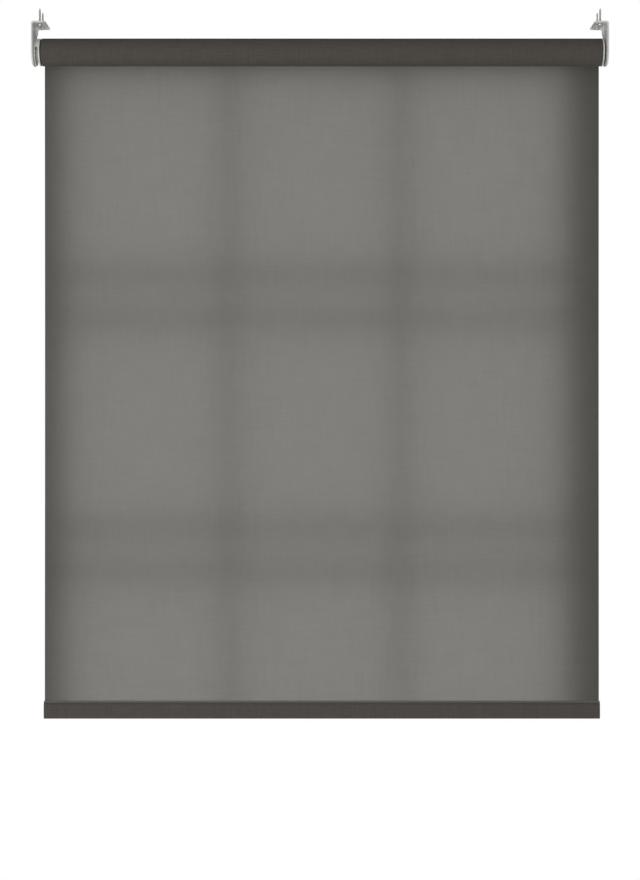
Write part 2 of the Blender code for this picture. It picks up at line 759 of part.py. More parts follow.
def bottom_lath(material, bar):
    """The hollow aluminium bar that keeps the hem straight and heavy."""
    sections = [lath_outline(0), lath_outline(LATH_WALL)]
    ends = (FABRIC_START + GAP, FABRIC_END - GAP)
    add(extruded("bottom_lath", sections, "X", *ends), material, bar)


def bar_end_cap(name, side, material, bar):
    """A moulded cap over the pocket's end, with a tongue pushed into the lath."""
    edge = FABRIC_END if side > 0 else FABRIC_START
    plate = sorted((edge + side * GAP, edge + side * (GAP + CAP_WALL)))
    cap = add(extruded(name, [pocket_outline(0)], "X", *plate), material, bar)
    inset = LATH_WALL + GAP
    tongue = sorted((edge + side * (GAP + CAP_WALL / 2), edge - side * CAP_TONGUE))
    tool = extruded(name + "_tongue", [lath_outline(inset)], "X", *tongue)
    combine(cap, cutter(tool, bar), "UNION")


empty_scene()
PARTS = collection("roller_blind")
CUTTERS = collection("cutters")

bracket_plastic = finish("bracket_plastic", (0.62, 0.62, 0.59), 0.42)
dark_plastic = finish("dark_plastic", (0.035, 0.035, 0.035), 0.5)
spring_steel = finish("spring_steel", (0.5, 0.5, 0.5), 0.3, 1.0)
zinc_steel = finish("zinc_steel", (0.62, 0.6, 0.56), 0.35, 1.0)
aluminium = finish("aluminium", (0.72, 0.72, 0.72), 0.35, 1.0)
cloth = finish("blind_fabric", (0.085, 0.077, 0.07), 0.9)
clear_plastic = finish("spline_plastic", (0.5, 0.5, 0.48), 0.4)
cap_plastic = finish("cap_plastic", (0.05, 0.05, 0.048), 0.5)

roller = mount_point("roller_axis", (0.0, 0.0, -AXIS_DROP))
bar = mount_point("bottom_bar_place", (0.0, SHEET_MIDDLE, -OVERALL_DROP))

control_bracket(bracket_plastic)
idle_bracket(bracket_plastic)
for side_name, side in (("control", -1), ("idle", 1)):
    fixing_screw(f"{side_name}_screw_front", side, SCREW_FRONT, zinc_steel)
    fixing_screw(f"{side_name}_screw_rear", side, SCREW_REAR, zinc_steel)
control_core(bracket_plastic, roller)
chain_guard(bracket_plastic, roller)
chain_wheel(bracket_plastic, roller)
spring_room = SHAFT_END - GAP - (CHANNEL_END - GAP + SLEEVE_COLLAR)
spring_length = SPRING_LAY * SPRING_TURNS + SPRING_WIRE
spring_spare = (spring_room - 2 * spring_length) / 3
first_spring = CHANNEL_END - GAP + SLEEVE_COLLAR + spring_spare + SPRING_WIRE / 2
second_spring = first_spring + spring_length + spring_spare
wrap_spring("wrap_spring_outer", first_spring, 1, spring_steel, roller)
wrap_spring("wrap_spring_inner", second_spring, -1, spring_steel, roller)
drive_plug(dark_plastic, roller)
core_washer(zinc_steel, roller)
core_screw(zinc_steel, roller)
roller_tube(aluminium, roller)
fabric_spline(clear_plastic, roller)
fabric_roll(cloth, roller)
idle_plug(bracket_plastic, roller)
idle_pin(zinc_steel, roller)
idle_spring_retainer(dark_plastic, roller)
idle_pin_spring(spring_steel, roller)
fabric_sheet(cloth)
bottom_pocket(cloth, bar)
bottom_lath(aluminium, bar)
bar_end_cap("control_bar_cap", -1, cap_plastic, bar)
bar_end_cap("idle_bar_cap", 1, cap_plastic, bar)
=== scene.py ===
"""Looks of the roller blind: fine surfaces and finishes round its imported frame. Metres, +Z up."""

import bmesh
import bpy
import numpy as np
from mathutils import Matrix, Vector


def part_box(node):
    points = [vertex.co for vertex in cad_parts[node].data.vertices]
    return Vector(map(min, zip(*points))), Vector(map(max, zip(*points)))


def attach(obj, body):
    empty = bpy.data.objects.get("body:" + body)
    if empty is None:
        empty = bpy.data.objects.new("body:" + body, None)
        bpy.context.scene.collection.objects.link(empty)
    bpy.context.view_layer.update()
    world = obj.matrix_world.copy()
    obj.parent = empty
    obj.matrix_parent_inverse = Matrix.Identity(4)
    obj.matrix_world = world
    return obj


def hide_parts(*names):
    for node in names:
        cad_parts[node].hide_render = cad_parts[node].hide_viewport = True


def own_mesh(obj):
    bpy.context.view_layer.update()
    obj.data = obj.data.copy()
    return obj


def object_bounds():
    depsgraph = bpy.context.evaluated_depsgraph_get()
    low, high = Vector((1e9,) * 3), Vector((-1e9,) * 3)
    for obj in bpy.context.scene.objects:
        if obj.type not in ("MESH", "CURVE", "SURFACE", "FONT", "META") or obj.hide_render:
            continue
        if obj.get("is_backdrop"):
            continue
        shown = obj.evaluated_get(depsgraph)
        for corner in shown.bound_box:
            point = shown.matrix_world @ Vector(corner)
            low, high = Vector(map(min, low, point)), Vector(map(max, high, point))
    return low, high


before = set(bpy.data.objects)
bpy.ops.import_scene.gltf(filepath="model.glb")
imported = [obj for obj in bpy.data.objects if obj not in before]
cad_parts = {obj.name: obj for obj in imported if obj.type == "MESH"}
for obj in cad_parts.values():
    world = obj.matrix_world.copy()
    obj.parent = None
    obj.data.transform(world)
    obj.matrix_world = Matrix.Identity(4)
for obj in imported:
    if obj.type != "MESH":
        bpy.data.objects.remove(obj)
cad_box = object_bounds()


# ---- Room: camera and light ----------------------------------------------------
# A level camera in front of the blind, low enough to see under the brackets' top plates.
# White surroundings that light it mostly from the front, one wide soft lamp, and soft lamps
# close behind the fabric, which make it glow pane by pane as in a window.

MM = 0.001
CAMERA_AT = (0.0, -2.7675, -0.6138)
LENS = 72
CAMERA_SHIFT = -0.0284

camera = bpy.data.objects.new("camera", bpy.data.cameras.new("camera"))
camera.location = CAMERA_AT
camera.rotation_euler = (np.pi / 2, 0.0, 0.0)
camera.data.lens = LENS
camera.data.shift_y = CAMERA_SHIFT
bpy.context.scene.collection.objects.link(camera)
bpy.context.scene.camera = camera
bpy.context.scene.view_settings.view_transform = "Standard"


def node(tree, kind, inputs=None, **settings):
    """Adds a shader node. Settings are its own options; inputs pairs each socket with a plain
    value or with another node's output."""
    made = tree.nodes.new(kind)
    for name, value in settings.items():
        setattr(made, name, value)
    for socket, value in (inputs or {}).items():
        if isinstance(value, bpy.types.NodeSocket):
            tree.links.new(value, made.inputs[socket])
        else:
            made.inputs[socket].default_value = value
    return made


SKY_SEEN = 1.0  # brightness of the surroundings as seen
SKY_LIGHT = (1.0, 0.05)  # and as light, from the front and from the back
SKY_FRONT = (0.0, -0.85, -0.53)  # the way to their brightest part, ahead of the blind and below

world = bpy.data.worlds.new("white surroundings")
world.use_nodes = True
sky = world.node_tree
way = node(sky, "ShaderNodeTexCoord").outputs["Generated"]
facing = node(sky, "ShaderNodeVectorMath", {0: way, 1: SKY_FRONT}, operation="DOT_PRODUCT")
values = {"Value": facing.outputs["Value"], "From Min": 1.0, "From Max": -1.0}
values |= {"To Min": SKY_LIGHT[0], "To Max": SKY_LIGHT[1]}
light = node(sky, "ShaderNodeMapRange", values).outputs["Result"]
seen = node(sky, "ShaderNodeLightPath").outputs["Is Camera Ray"]
level = node(sky, "ShaderNodeMapRange", {"Value": seen, "To Min": light, "To Max": SKY_SEEN})
white = {"Color": (1.0, 1.0, 1.0, 1.0), "Strength": level.outputs["Result"]}
backdrop = node(sky, "ShaderNodeBackground", white)
sky.links.new(backdrop.outputs[0], sky.nodes["World Output"].inputs["Surface"])
bpy.context.scene.world = world


def lamp(name, at, towards, width, height, watts):
    """A rectangular soft lamp that no camera sees."""
    made = bpy.data.objects.new(name, bpy.data.lights.new(name, "AREA"))
    made.data.shape = "RECTANGLE"
    made.data.size, made.data.size_y = width, height
    made.data.energy = watts
    made.location = at
    aim = Vector(towards) - Vector(at)
    made.rotation_euler = aim.to_track_quat("-Z", "Y").to_euler()
    made.visible_camera = False
    bpy.context.scene.collection.objects.link(made)
    return made


lamp(
    "front lamp", at=(-1.2, -2.3, -1.1), towards=(0.0, 0.0, -0.4), width=1.8, height=1.2,
    watts=24.0,
)

sheet_low, sheet_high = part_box("fabric_sheet")
PANE_BEHIND = 38 * MM  # from the fabric to the lamps
PANE_GLOW = 10.6  # watts a square metre
GLAZING_BAR = 15 * MM  # dark line between neighbouring lamps
PANE_SIDES = (20 * MM, 42 * MM)  # unlit border at the fabric's left and right
PANE_COLUMNS = 3
PANE_ROWS = (0.012, 0.34, 0.409, 0.732, 0.80, 1.09)  # edges of the rows, as shares of the drop

sheet_drop = sheet_high[2] - sheet_low[2]
pane_left, pane_right = sheet_low[0] + PANE_SIDES[0], sheet_high[0] - PANE_SIDES[1]
across = np.linspace(pane_left, pane_right, PANE_COLUMNS + 1)
down = sheet_high[2] - sheet_drop * np.array(PANE_ROWS)
for row, (top, bottom) in enumerate(zip(down, down[1:])):
    for column, (left, right) in enumerate(zip(across, across[1:])):
        x, z = (left + right) / 2, (top + bottom) / 2
        width, height = right - left - GLAZING_BAR, top - bottom - GLAZING_BAR
        at = (x, sheet_high[1] + PANE_BEHIND, z)
        lamp(f"pane {row} {column}", at, (x, 0.0, z), width, height, PANE_GLOW * width * height)


# ---- Floor ---------------------------------------------------------------------
# A plain pale floor, well below the hanging blind.

FLOOR_DROP = 1.0  # below the blind's lowest point
FLOOR_HALF = (5.0, 5.0)
FLOOR_REAR = 2.6  # how far it runs on behind the blind
FLOOR_COLOUR, FLOOR_ROUGHNESS = (0.8, 0.8, 0.79, 1.0), 0.9
FLOOR_GLOW, FLOOR_GLOW_STRENGTH = (1.0, 1.0, 0.99, 1.0), 0.35
SAME_POINT = 1e-6  # points this near each other are merged


def surface(name, *grids, uv=None, sharp=40):
    """A mesh from grids of (rows, columns, 3) points. Neighbouring points span a quad, and
    points that meet are merged, which closes seams, poles and the borders between grids."""
    points = np.concatenate([grid.reshape(-1, 3) for grid in grids])
    corners, first = [], 0
    for grid in grids:
        rows, columns = grid.shape[:2]
        at = first + np.arange(rows * columns).reshape(rows, columns)
        quads = np.stack([at[:-1, :-1], at[:-1, 1:], at[1:, 1:], at[1:, :-1]], axis=-1)
        corners.append(quads.reshape(-1, 4))
        first += rows * columns
    corners = np.concatenate(corners)
    mesh = bpy.data.meshes.new(name)
    mesh.from_pydata(points.tolist(), [], corners.tolist())
    if uv is not None:
        flat = np.concatenate([part.reshape(-1, 2) for part in uv])
        layer = mesh.uv_layers.new(name="cloth")
        layer.data.foreach_set("uv", flat[corners.ravel()].ravel())
    shape = bmesh.new()
    shape.from_mesh(mesh)
    bmesh.ops.remove_doubles(shape, verts=shape.verts, dist=SAME_POINT)
    bmesh.ops.dissolve_degenerate(shape, edges=shape.edges, dist=SAME_POINT)
    bmesh.ops.recalc_face_normals(shape, faces=shape.faces)
    shape.to_mesh(mesh)
    shape.free()
    mesh.shade_smooth()
    mesh.set_sharp_from_angle(angle=np.radians(sharp))
    made = bpy.data.objects.new(name, mesh)
    bpy.context.scene.collection.objects.link(made)
    return made


x, y = np.meshgrid(*(np.linspace(-half, half, 9) for half in FLOOR_HALF))
below = np.full_like(x, cad_box[0][2] - FLOOR_DROP)
floor = surface("floor", np.stack([x, y - FLOOR_HALF[1] + FLOOR_REAR, below], axis=-1))
pale = bpy.data.materials.new("pale floor")
pale.use_nodes = True
finish = pale.node_tree.nodes["Principled BSDF"].inputs
finish["Base Color"].default_value = FLOOR_COLOUR
finish["Roughness"].default_value = FLOOR_ROUGHNESS
finish["Emission Color"].default_value = FLOOR_GLOW
finish["Emission Strength"].default_value = FLOOR_GLOW_STRENGTH
floor.data.materials.append(pale)
floor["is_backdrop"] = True


# ---- Fixing brackets -----------------------------------------------------------
# Two L-shaped brackets moulded in milky plastic, screwed up to the ceiling through slots in
# their top plates. The ear's rear edge is drawn in below the plate, and its foot is round.
# The control side's ear has a square slot for the core's key, the idle side's a round hole.

CONTROL, IDLE = -1, 1  # the two sides of the blind, along X
WALL = 2.4 * MM
INNER_FILLET = 3.0 * MM
OUTER_SQUARENESS = 2.6  # exponent of the superellipse round the outer corner
PLATE_ROUND = 6 * MM
EAR_ROUND = 18 * MM
EAR_REAR = 19 * MM
SWEEP = 12 * MM  # length over which the rear edge is drawn in
RIM = 0.7 * MM  # radius of every moulded edge
SLOT_HALF, SLOT_RADIUS = 4 * MM, 2.05 * MM
SLOT_Y = (-17 * MM, 12 * MM)
SIDE_HOLE_Y, SIDE_HOLE_Z, SIDE_HOLE_RADIUS = (-20 * MM, 12 * MM), -12 * MM, 2.1 * MM
COUNTERSINK = 0.5 * MM
KEY_SLOT, KEY_CORNER = (8.3 * MM, 3.3 * MM), 0.4 * MM  # half sizes, along Y and Z
PIN_HOLE = 4.3 * MM

tube_low, tube_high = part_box("roller_tube")
AXIS_Z = (tube_low[2] + tube_high[2]) / 2
ROLLER_BODY, FIXED_BODY = "roller", "brackets"


def edge_line(plate_edge, ear_edge, side_y, length, bend_start, bend_end):
    """One long edge of the unfolded bracket as (distance down the bracket, Y) points, with
    their outward normals: a quarter round at the plate's tip, a straight past the bend, a
    cosine sweep from the plate's width to the ear's, and a quarter round at the foot."""
    a = np.linspace(0, np.pi / 2, 8)
    q = np.linspace(0, 1, 13)
    b = np.linspace(0, np.pi / 2, 19)
    bend = np.linspace(bend_start, bend_end, 19)
    step = ear_edge - plate_edge
    s = [PLATE_ROUND * (1 - np.cos(a)), bend, bend_end + WALL + SWEEP * q]
    s.append(length - EAR_ROUND * (1 - np.sin(b)))
    y = [plate_edge - PLATE_ROUND * (1 - np.sin(a)), np.full(bend.size, plate_edge)]
    y += [plate_edge + step * (1 - np.cos(np.pi * q)) / 2, ear_edge - EAR_ROUND * (1 - np.cos(b))]
    slope = step * np.pi / 2 * np.sin(np.pi * q) / SWEEP
    steep = np.hypot(slope, 1)
    normal_s = [-np.cos(a), np.zeros(bend.size), -slope / steep, np.sin(b)]
    normal_y = [np.sin(a), np.ones(bend.size), 1 / steep, np.cos(b)]
    points = np.stack([np.concatenate(s), side_y * np.concatenate(y)], axis=-1)
    normals = np.stack([np.concatenate(normal_s), side_y * np.concatenate(normal_y)], axis=-1)
    return points, normals


def bracket_shell(name, side):
    """The bracket's skin: a rounded-edge section carried down the unfolded plate and ear, then
    folded. Each rim point is the edge line drawn in by r(1 - sin a) at a depth of
    r(1 - cos a); the outer corner is a superellipse about the inner fillet's centre."""
    low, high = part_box(name)
    reach, half = high[0] - low[0], (high[1] - low[1]) / 2
    corner = WALL + INNER_FILLET
    bend_start, bend_end = reach - corner, reach + WALL
    length = bend_end - low[2] - corner
    a = np.linspace(0, np.pi / 2, 6)
    inset = np.concatenate([RIM * (1 - np.sin(a)), RIM * (1 - np.sin(a[::-1]))])
    depth = np.concatenate([RIM * (1 - np.cos(a)), WALL - RIM * (1 - np.cos(a[::-1]))])
    rims = []
    for side_y, ear_edge in ((-1, half), (1, EAR_REAR)):
        points, normals = edge_line(half, ear_edge, side_y, length, bend_start, bend_end)
        rims.append(points[:, None] - inset[:, None] * normals[:, None])
    front, rear = rims
    share = np.linspace(0, 1, 13)[:, None]
    over = front[:, -1:] * (1 - share) + rear[:, -1:] * share
    back = rear[:, :1] * (1 - share) + front[:, :1] * share
    loop = np.concatenate([front, over[:, 1:-1], rear[:, ::-1], back[:, 1:]], axis=1)
    flat = share.size - 2
    deep = np.concatenate([depth, np.full(flat, WALL), depth[::-1], np.zeros(flat + 1)])
    ends = [front[i, :, None] * (1 - share) + rear[i, :, None] * share for i in (0, -1)]

    def folded(place, depth):
        s, y = place[..., 0], place[..., 1]
        turn = np.clip((s - bend_start) / (bend_end - bend_start), 0, 1) * np.pi / 2
        round_off = np.cos(turn) ** OUTER_SQUARENESS + np.sin(turn) ** OUTER_SQUARENESS
        outer = corner * round_off ** (-1 / OUTER_SQUARENESS)
        radius = INNER_FILLET + (outer - INNER_FILLET) * (1 - depth / WALL)
        inward = corner - radius * np.sin(turn) + np.maximum(bend_start - s, 0)
        z = radius * np.cos(turn) - corner - np.maximum(s - bend_end, 0)
        x = side * (max(abs(low[0]), abs(high[0])) - inward)
        return np.stack([x, y, z], axis=-1)

    caps = [folded(end, depth[:, None]) for end in ends]
    return surface(name + "_moulding", folded(loop, deep), *caps)


def stack(rings):
    """The grid of a solid through a stack of rings, each end drawn in to its middle."""
    ends = [np.broadcast_to(rings[i].mean(axis=0), rings[i].shape) for i in (0, -1)]
    rows = np.stack([ends[0], *rings, ends[1]])
    return np.concatenate([rows, rows[:, :1]], axis=1)


def unit(vectors):
    return vectors / np.maximum(np.linalg.norm(vectors, axis=-1, keepdims=True), 1e-12)


def rounded(corners, steps=6):
    """An outline whose (a, b, radius) corners become arcs. An arc's centre is on its corner's
    bisector, radius / sin(half angle) away, and it starts radius / tan(half angle) back."""
    corners = np.array(corners, float)
    at, radius = corners[:, :2], corners[:, 2:]
    back, ahead = (unit(np.roll(at, way, axis=0) - at) for way in (1, -1))
    half = np.arccos(np.clip((back * ahead).sum(axis=1, keepdims=True), -1, 1)) / 2
    centre = at + unit(back + ahead) * radius / np.sin(half)
    first, last = (at + way * radius / np.tan(half) - centre for way in (back, ahead))
    start = np.arctan2(first[:, 1:], first[:, :1])
    turn = (np.arctan2(last[:, 1:], last[:, :1]) - start + np.pi) % (2 * np.pi) - np.pi
    angle = start + turn * np.linspace(0, 1, steps + 1)
    arcs = radius[..., None] * np.stack([np.cos(angle), np.sin(angle)], axis=-1)
    return (centre[:, None] + arcs).reshape(-1, 2)


def box_outline(half_a, half_b, radius, middle=(0.0, 0.0), steps=6):
    """A rectangle with round corners about its middle."""
    signs = ((-1, -1), (1, -1), (1, 1), (-1, 1))
    corners = [(middle[0] + a * half_a, middle[1] + b * half_b, radius) for a, b in signs]
    return rounded(corners, steps)


def ring_at(outline, axis, height):
    """A flat outline set across X or Z at a height along it."""
    return np.insert(outline, {"X": 0, "Z": 2}[axis], height, axis=1)


def punch(name, shape, axis, low, high):
    """A cutter through a wall from low to high whose two mouths flare by the countersink.
    shape(grow) gives its outline, grown by that much."""
    flare, past = COUNTERSINK, 2 * COUNTERSINK
    mouth = flare + past
    steps = ((low - past, mouth), (low + flare, 0), (high - flare, 0), (high + past, mouth))
    return surface(name, stack([ring_at(shape(grow), axis, at) for at, grow in steps]))


def carve(piece, tools, operation="DIFFERENCE"):
    """Cuts tools out of a piece, or joins them to it, and takes the tools away."""
    for tool in tools:
        step = piece.modifiers.new(tool.name, "BOOLEAN")
        step.operation, step.solver, step.object = operation, "EXACT", tool
    graph = bpy.context.evaluated_depsgraph_get()
    piece.data = bpy.data.meshes.new_from_object(piece.evaluated_get(graph))
    piece.modifiers.clear()
    for tool in tools:
        bpy.data.objects.remove(tool, do_unlink=True)
    piece.data.shade_smooth()
    piece.data.set_sharp_from_angle(angle=np.radians(35))
    return piece


def bracket_piece(name, side):
    """The skin with its slots and holes cut through."""
    low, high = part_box(name)
    wide = max(abs(low[0]), abs(high[0]))
    middle = side * (wide - (WALL + high[0] - low[0]) / 2)
    tools = []
    for y in SLOT_Y:
        def slot(grow, y=y):
            radius = SLOT_RADIUS + grow
            return box_outline(SLOT_HALF + radius, radius, radius, (middle, y))
        tools.append(punch("slot", slot, "Z", -WALL, 0.0))
    outer, inner = sorted((side * wide, side * (wide - WALL)))
    for y in SIDE_HOLE_Y:
        def side_hole(grow, y=y):
            radius = SIDE_HOLE_RADIUS + grow
            return box_outline(radius, radius, radius, (y, SIDE_HOLE_Z))
        tools.append(punch("side hole", side_hole, "X", outer, inner))

    def seat(grow):
        if side == CONTROL:
            half_y, half_z = KEY_SLOT[0] + grow, KEY_SLOT[1] + grow
            return box_outline(half_y, half_z, KEY_CORNER + grow, (0, AXIS_Z))
        return box_outline(PIN_HOLE + grow, PIN_HOLE + grow, PIN_HOLE + grow, (0, AXIS_Z), 12)

    tools.append(punch("seat", seat, "X", outer, inner))
    return carve(bracket_shell(name, side), tools)


def shader_group(name, inputs, outputs):
    """An empty shader node group with its sockets, and its two end nodes."""
    tree = bpy.data.node_groups.new(name, "ShaderNodeTree")
    for label, kind in inputs.items():
        tree.interface.new_socket(label, in_out="INPUT", socket_type=kind)
    for label in outputs:
        tree.interface.new_socket(label, in_out="OUTPUT", socket_type="NodeSocketFloat")
    return tree, tree.nodes.new("NodeGroupInput"), tree.nodes.new("NodeGroupOutput")


def moulded_group():
    """Moulded plastic: Tone is its faint cloudiness with flow streaks down the wall, and Grain
    the fine spark-eroded texture of the mould."""
    inputs = {"Place": "NodeSocketVector", "Cloud": "NodeSocketFloat", "Grit": "NodeSocketFloat"}
    tree, source, result = shader_group("moulded plastic", inputs, ("Tone", "Grain"))
    place = source.outputs["Place"]
    flow = node(tree, "ShaderNodeMapping", {"Vector": place, "Scale": (1.0, 1.0, 0.35)})
    values = {"Vector": flow.outputs[0], "Scale": source.outputs["Cloud"], "Detail": 4.0}
    cloud = node(tree, "ShaderNodeTexNoise", values)
    values = {"Vector": place, "Scale": source.outputs["Grit"], "Detail": 3.0, "Roughness": 0.6}
    grit = node(tree, "ShaderNodeTexNoise", values)
    tree.links.new(cloud.outputs[0], result.inputs["Tone"])
    tree.links.new(grit.outputs[0], result.inputs["Grain"])
    return tree


MOULDED = moulded_group()


def material(name):
    """A new material: its node tree, its Principled shader and the object's own coordinates."""
    made = bpy.data.materials.new(name)
    made.use_nodes = True
    tree = made.node_tree
    place = tree.nodes.new("ShaderNodeTexCoord").outputs["Object"]
    return made, tree, tree.nodes["Principled BSDF"], place


def varied(tree, mask, dark, light, low=0.3, high=0.7):
    """A colour that runs from dark to light as the mask runs from low to high."""
    ramp = node(tree, "ShaderNodeValToRGB", {"Fac": mask})
    for stop, (at, colour) in zip(ramp.color_ramp.elements, ((low, dark), (high, light))):
        stop.position, stop.color = at, (*colour, 1.0)
    return ramp.outputs["Color"]


def spread(tree, mask, low, high):
    """A value between low and high that follows a mask."""
    values = {"Value": mask, "From Min": 0.25, "From Max": 0.75, "To Min": low, "To Max": high}
    return node(tree, "ShaderNodeMapRange", values).outputs["Result"]


def relief(tree, shader, height, depth):
    """Raises the surface by a height of up to depth."""
    values = {"Height": height, "Distance": depth}
    tree.links.new(node(tree, "ShaderNodeBump", values).outputs[0], shader.inputs["Normal"])


MOULD_GRAIN = 0.03 * MM  # depth of the mould's texture


def plastic(name, dark, light, rough, cloud=60.0, grit=2600.0):
    """A moulded plastic between two near colours, with roughness (low, high)."""
    made, tree, shader, place = material(name)
    mould = node(tree, "ShaderNodeGroup", node_tree=MOULDED)
    tree.links.new(place, mould.inputs["Place"])
    mould.inputs["Cloud"].default_value, mould.inputs["Grit"].default_value = cloud, grit
    tone, grain = mould.outputs["Tone"], mould.outputs["Grain"]
    tree.links.new(varied(tree, tone, dark, light), shader.inputs["Base Color"])
    tree.links.new(spread(tree, tone, *rough), shader.inputs["Roughness"])
    relief(tree, shader, grain, MOULD_GRAIN)
    return made


def fit(piece, body, slot, finish, *nodes):
    """Gives a piece its finish, and hangs it on its body in place of its plain solids."""
    piece.data.materials.clear()
    piece.data.materials.append(finish)
    even = piece.modifiers.new("even shading", "WEIGHTED_NORMAL")
    even.keep_sharp = True
    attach(piece, body)
    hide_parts(*nodes)
    return piece


MILKY = plastic("milky plastic", (0.55, 0.55, 0.53), (0.66, 0.655, 0.635), (0.30, 0.42))

for name, side in (("control_bracket", CONTROL), ("idle_bracket", IDLE)):
    fit(bracket_piece(name, side), FIXED_BODY, "bracket_plastic", MILKY, name)


# ---- Ceiling screws ------------------------------------------------------------
# Four zinc-plated pan-head wood screws, driven up through the brackets' slots. Rolled
# threads run out in a gimlet point, and the pressed cross recess tapers as it deepens.

HEAD_RADIUS, HEAD_HEIGHT = 3.7 * MM, 2.6 * MM
THREAD_RADIUS, ROOT_RADIUS, THREAD_PITCH = 1.75 * MM, 1.2 * MM, 1.5 * MM
PLAIN_SHANK = 3 * MM  # unthreaded length under the head
PLAIN_RADIUS = 1.15 * ROOT_RADIUS
HEAD_FILLET = (1.4 * ROOT_RADIUS, 0.2 * MM)  # the shank's radius at the seat, and its rise
SEAT_RADIUS = 0.96 * HEAD_RADIUS
CREST_SLOPE = 3.2  # a crest takes up 2 / slope of the pitch
GIMLET, GIMLET_TAPER = 4.5 * MM, 0.8  # length of the point, and exponent of its radius
DOME_ARC, DOME_DRAW, DOME_SQUARE = np.radians(62), 0.32, 0.6  # arc, share drawn in, exponent
CROSS_HALF, CROSS_ARM, CROSS_DEPTH = 0.55 * MM, 2.1 * MM, 1.5 * MM
CROSS_TAPER = 0.62  # size of the recess at its floor, beside its mouth


def cross_radius(angle, half_width, half_length):
    """Distance from the middle to the edge of a cross: the farther of its two bars' edges,
    each bar's edge being the nearer of its side and its end."""
    c, s = np.abs(np.cos(angle)) + 1e-9, np.abs(np.sin(angle)) + 1e-9
    flat = np.minimum(half_length / c, half_width / s)
    upright = np.minimum(half_width / c, half_length / s)
    return np.maximum(flat, upright)


def screw_surface(name, x, y, seat, tip):
    """A screw standing on Z, as radius(turn, row): the thread's crest follows
    height / pitch + turn, and the head's rows shrink to the cross and then go down it."""
    angle = np.linspace(0, 2 * np.pi, 49)
    heights = np.arange(tip, seat + PLAIN_SHANK, -THREAD_PITCH / 8)
    phase = (heights[:, None] / THREAD_PITCH + angle / (2 * np.pi)) % 1
    crest = np.maximum(0, 1 - np.abs(phase - 0.5) * CREST_SLOPE)
    slim = np.clip((tip - heights) / GIMLET, 0, 1)[:, None] ** GIMLET_TAPER
    shank = (ROOT_RADIUS + (THREAD_RADIUS - ROOT_RADIUS) * crest) * slim
    bottom = seat - HEAD_HEIGHT
    a = np.linspace(0, DOME_ARC, 9)
    dome_radius = HEAD_RADIUS * (1 - DOME_DRAW * (1 - np.cos(a) ** DOME_SQUARE))
    dome = list(zip(dome_radius, seat - HEAD_HEIGHT * np.sin(a) / np.sin(a[-1])))
    turned = [(PLAIN_RADIUS, seat + PLAIN_SHANK), (PLAIN_RADIUS, seat + HEAD_FILLET[1])]
    turned += [(HEAD_FILLET[0], seat), (SEAT_RADIUS, seat), *dome]
    rows = [np.broadcast_to([[r]], (1, angle.size)) for r, _ in turned]
    levels = [z for _, z in turned]
    deep = bottom + CROSS_DEPTH
    for share, z in ((1.0, bottom), (CROSS_TAPER, deep), (0.0, deep)):
        rows.append(cross_radius(angle, CROSS_HALF, CROSS_ARM)[None] * share)
        levels.append(z)
    radius = np.concatenate([shank, *rows])
    height = np.concatenate([heights, levels])[:, None] + 0 * angle
    grid = np.stack([x + radius * np.cos(angle), y + radius * np.sin(angle), height], axis=-1)
    return surface(name, grid, sharp=30)


def streaked_group():
    """Drawn or rolled metal: Streak is fine lines along X, and Mottle the soft patches of
    its plating or anodising."""
    inputs = {"Place": "NodeSocketVector", "Fine": "NodeSocketFloat", "Stretch": "NodeSocketVector"}
    tree, source, result = shader_group("streaked metal", inputs, ("Streak", "Mottle"))
    place = source.outputs["Place"]
    drawn = node(tree, "ShaderNodeMapping", {"Vector": place, "Scale": source.outputs["Stretch"]})
    values = {"Vector": drawn.outputs[0], "Scale": source.outputs["Fine"], "Detail": 3.0}
    streak = node(tree, "ShaderNodeTexNoise", values)
    mottle = node(tree, "ShaderNodeTexNoise", {"Vector": place, "Scale": 240.0, "Detail": 4.0})
    tree.links.new(streak.outputs[0], result.inputs["Streak"])
    tree.links.new(mottle.outputs[0], result.inputs["Mottle"])
    return tree


STREAKED = streaked_group()


STREAK_DEPTH = 0.01 * MM


def metal(name, dark, light, rough, stretch, fine=900.0):
    """A metal with streaks stretched by a vector, and a faint mottle in its colour."""
    made, tree, shader, place = material(name)
    drawn = node(tree, "ShaderNodeGroup", node_tree=STREAKED)
    tree.links.new(place, drawn.inputs["Place"])
    drawn.inputs["Stretch"].default_value = stretch
    drawn.inputs["Fine"].default_value = fine
    streak, mottle = drawn.outputs["Streak"], drawn.outputs["Mottle"]
    tree.links.new(varied(tree, mottle, dark, light), shader.inputs["Base Color"])
    tree.links.new(spread(tree, streak, *rough), shader.inputs["Roughness"])
    shader.inputs["Metallic"].default_value = 1.0
    relief(tree, shader, streak, STREAK_DEPTH)
    return made


ZINC = metal("zinc plate", (0.46, 0.45, 0.42), (0.62, 0.61, 0.59), (0.26, 0.42), (1, 1, 0.2))

for side_name in ("control", "idle"):
    for place in ("front", "rear"):
        name = f"{side_name}_screw_{place}"
        low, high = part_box(name)
        x, y = (low[0] + high[0]) / 2, (low[1] + high[1]) / 2
        screw = screw_surface(name + "_threaded", x, y, low[2] + HEAD_HEIGHT, high[2])
        fit(screw, FIXED_BODY, "zinc_steel", ZINC, name)


# ---- Control core --------------------------------------------------------------
# The fixed half of the control unit, moulded in one: a round back plate with a key that
# stands in the ear's slot, the smooth shaft that the springs grip, and a neck with a screw
# hole up its middle.

CLEARANCE = 0.3 * MM
SHAFT_RADIUS, NECK_RADIUS, NECK_LENGTH = 9.9 * MM, 6.0 * MM, 12.1 * MM
SCREW_HOLE = (1.8 * MM, 16 * MM)  # radius and depth
PLATE_RIM, PLATE_SINK = 1.4 * MM, 0.4 * MM  # width and height of the back plate's rim

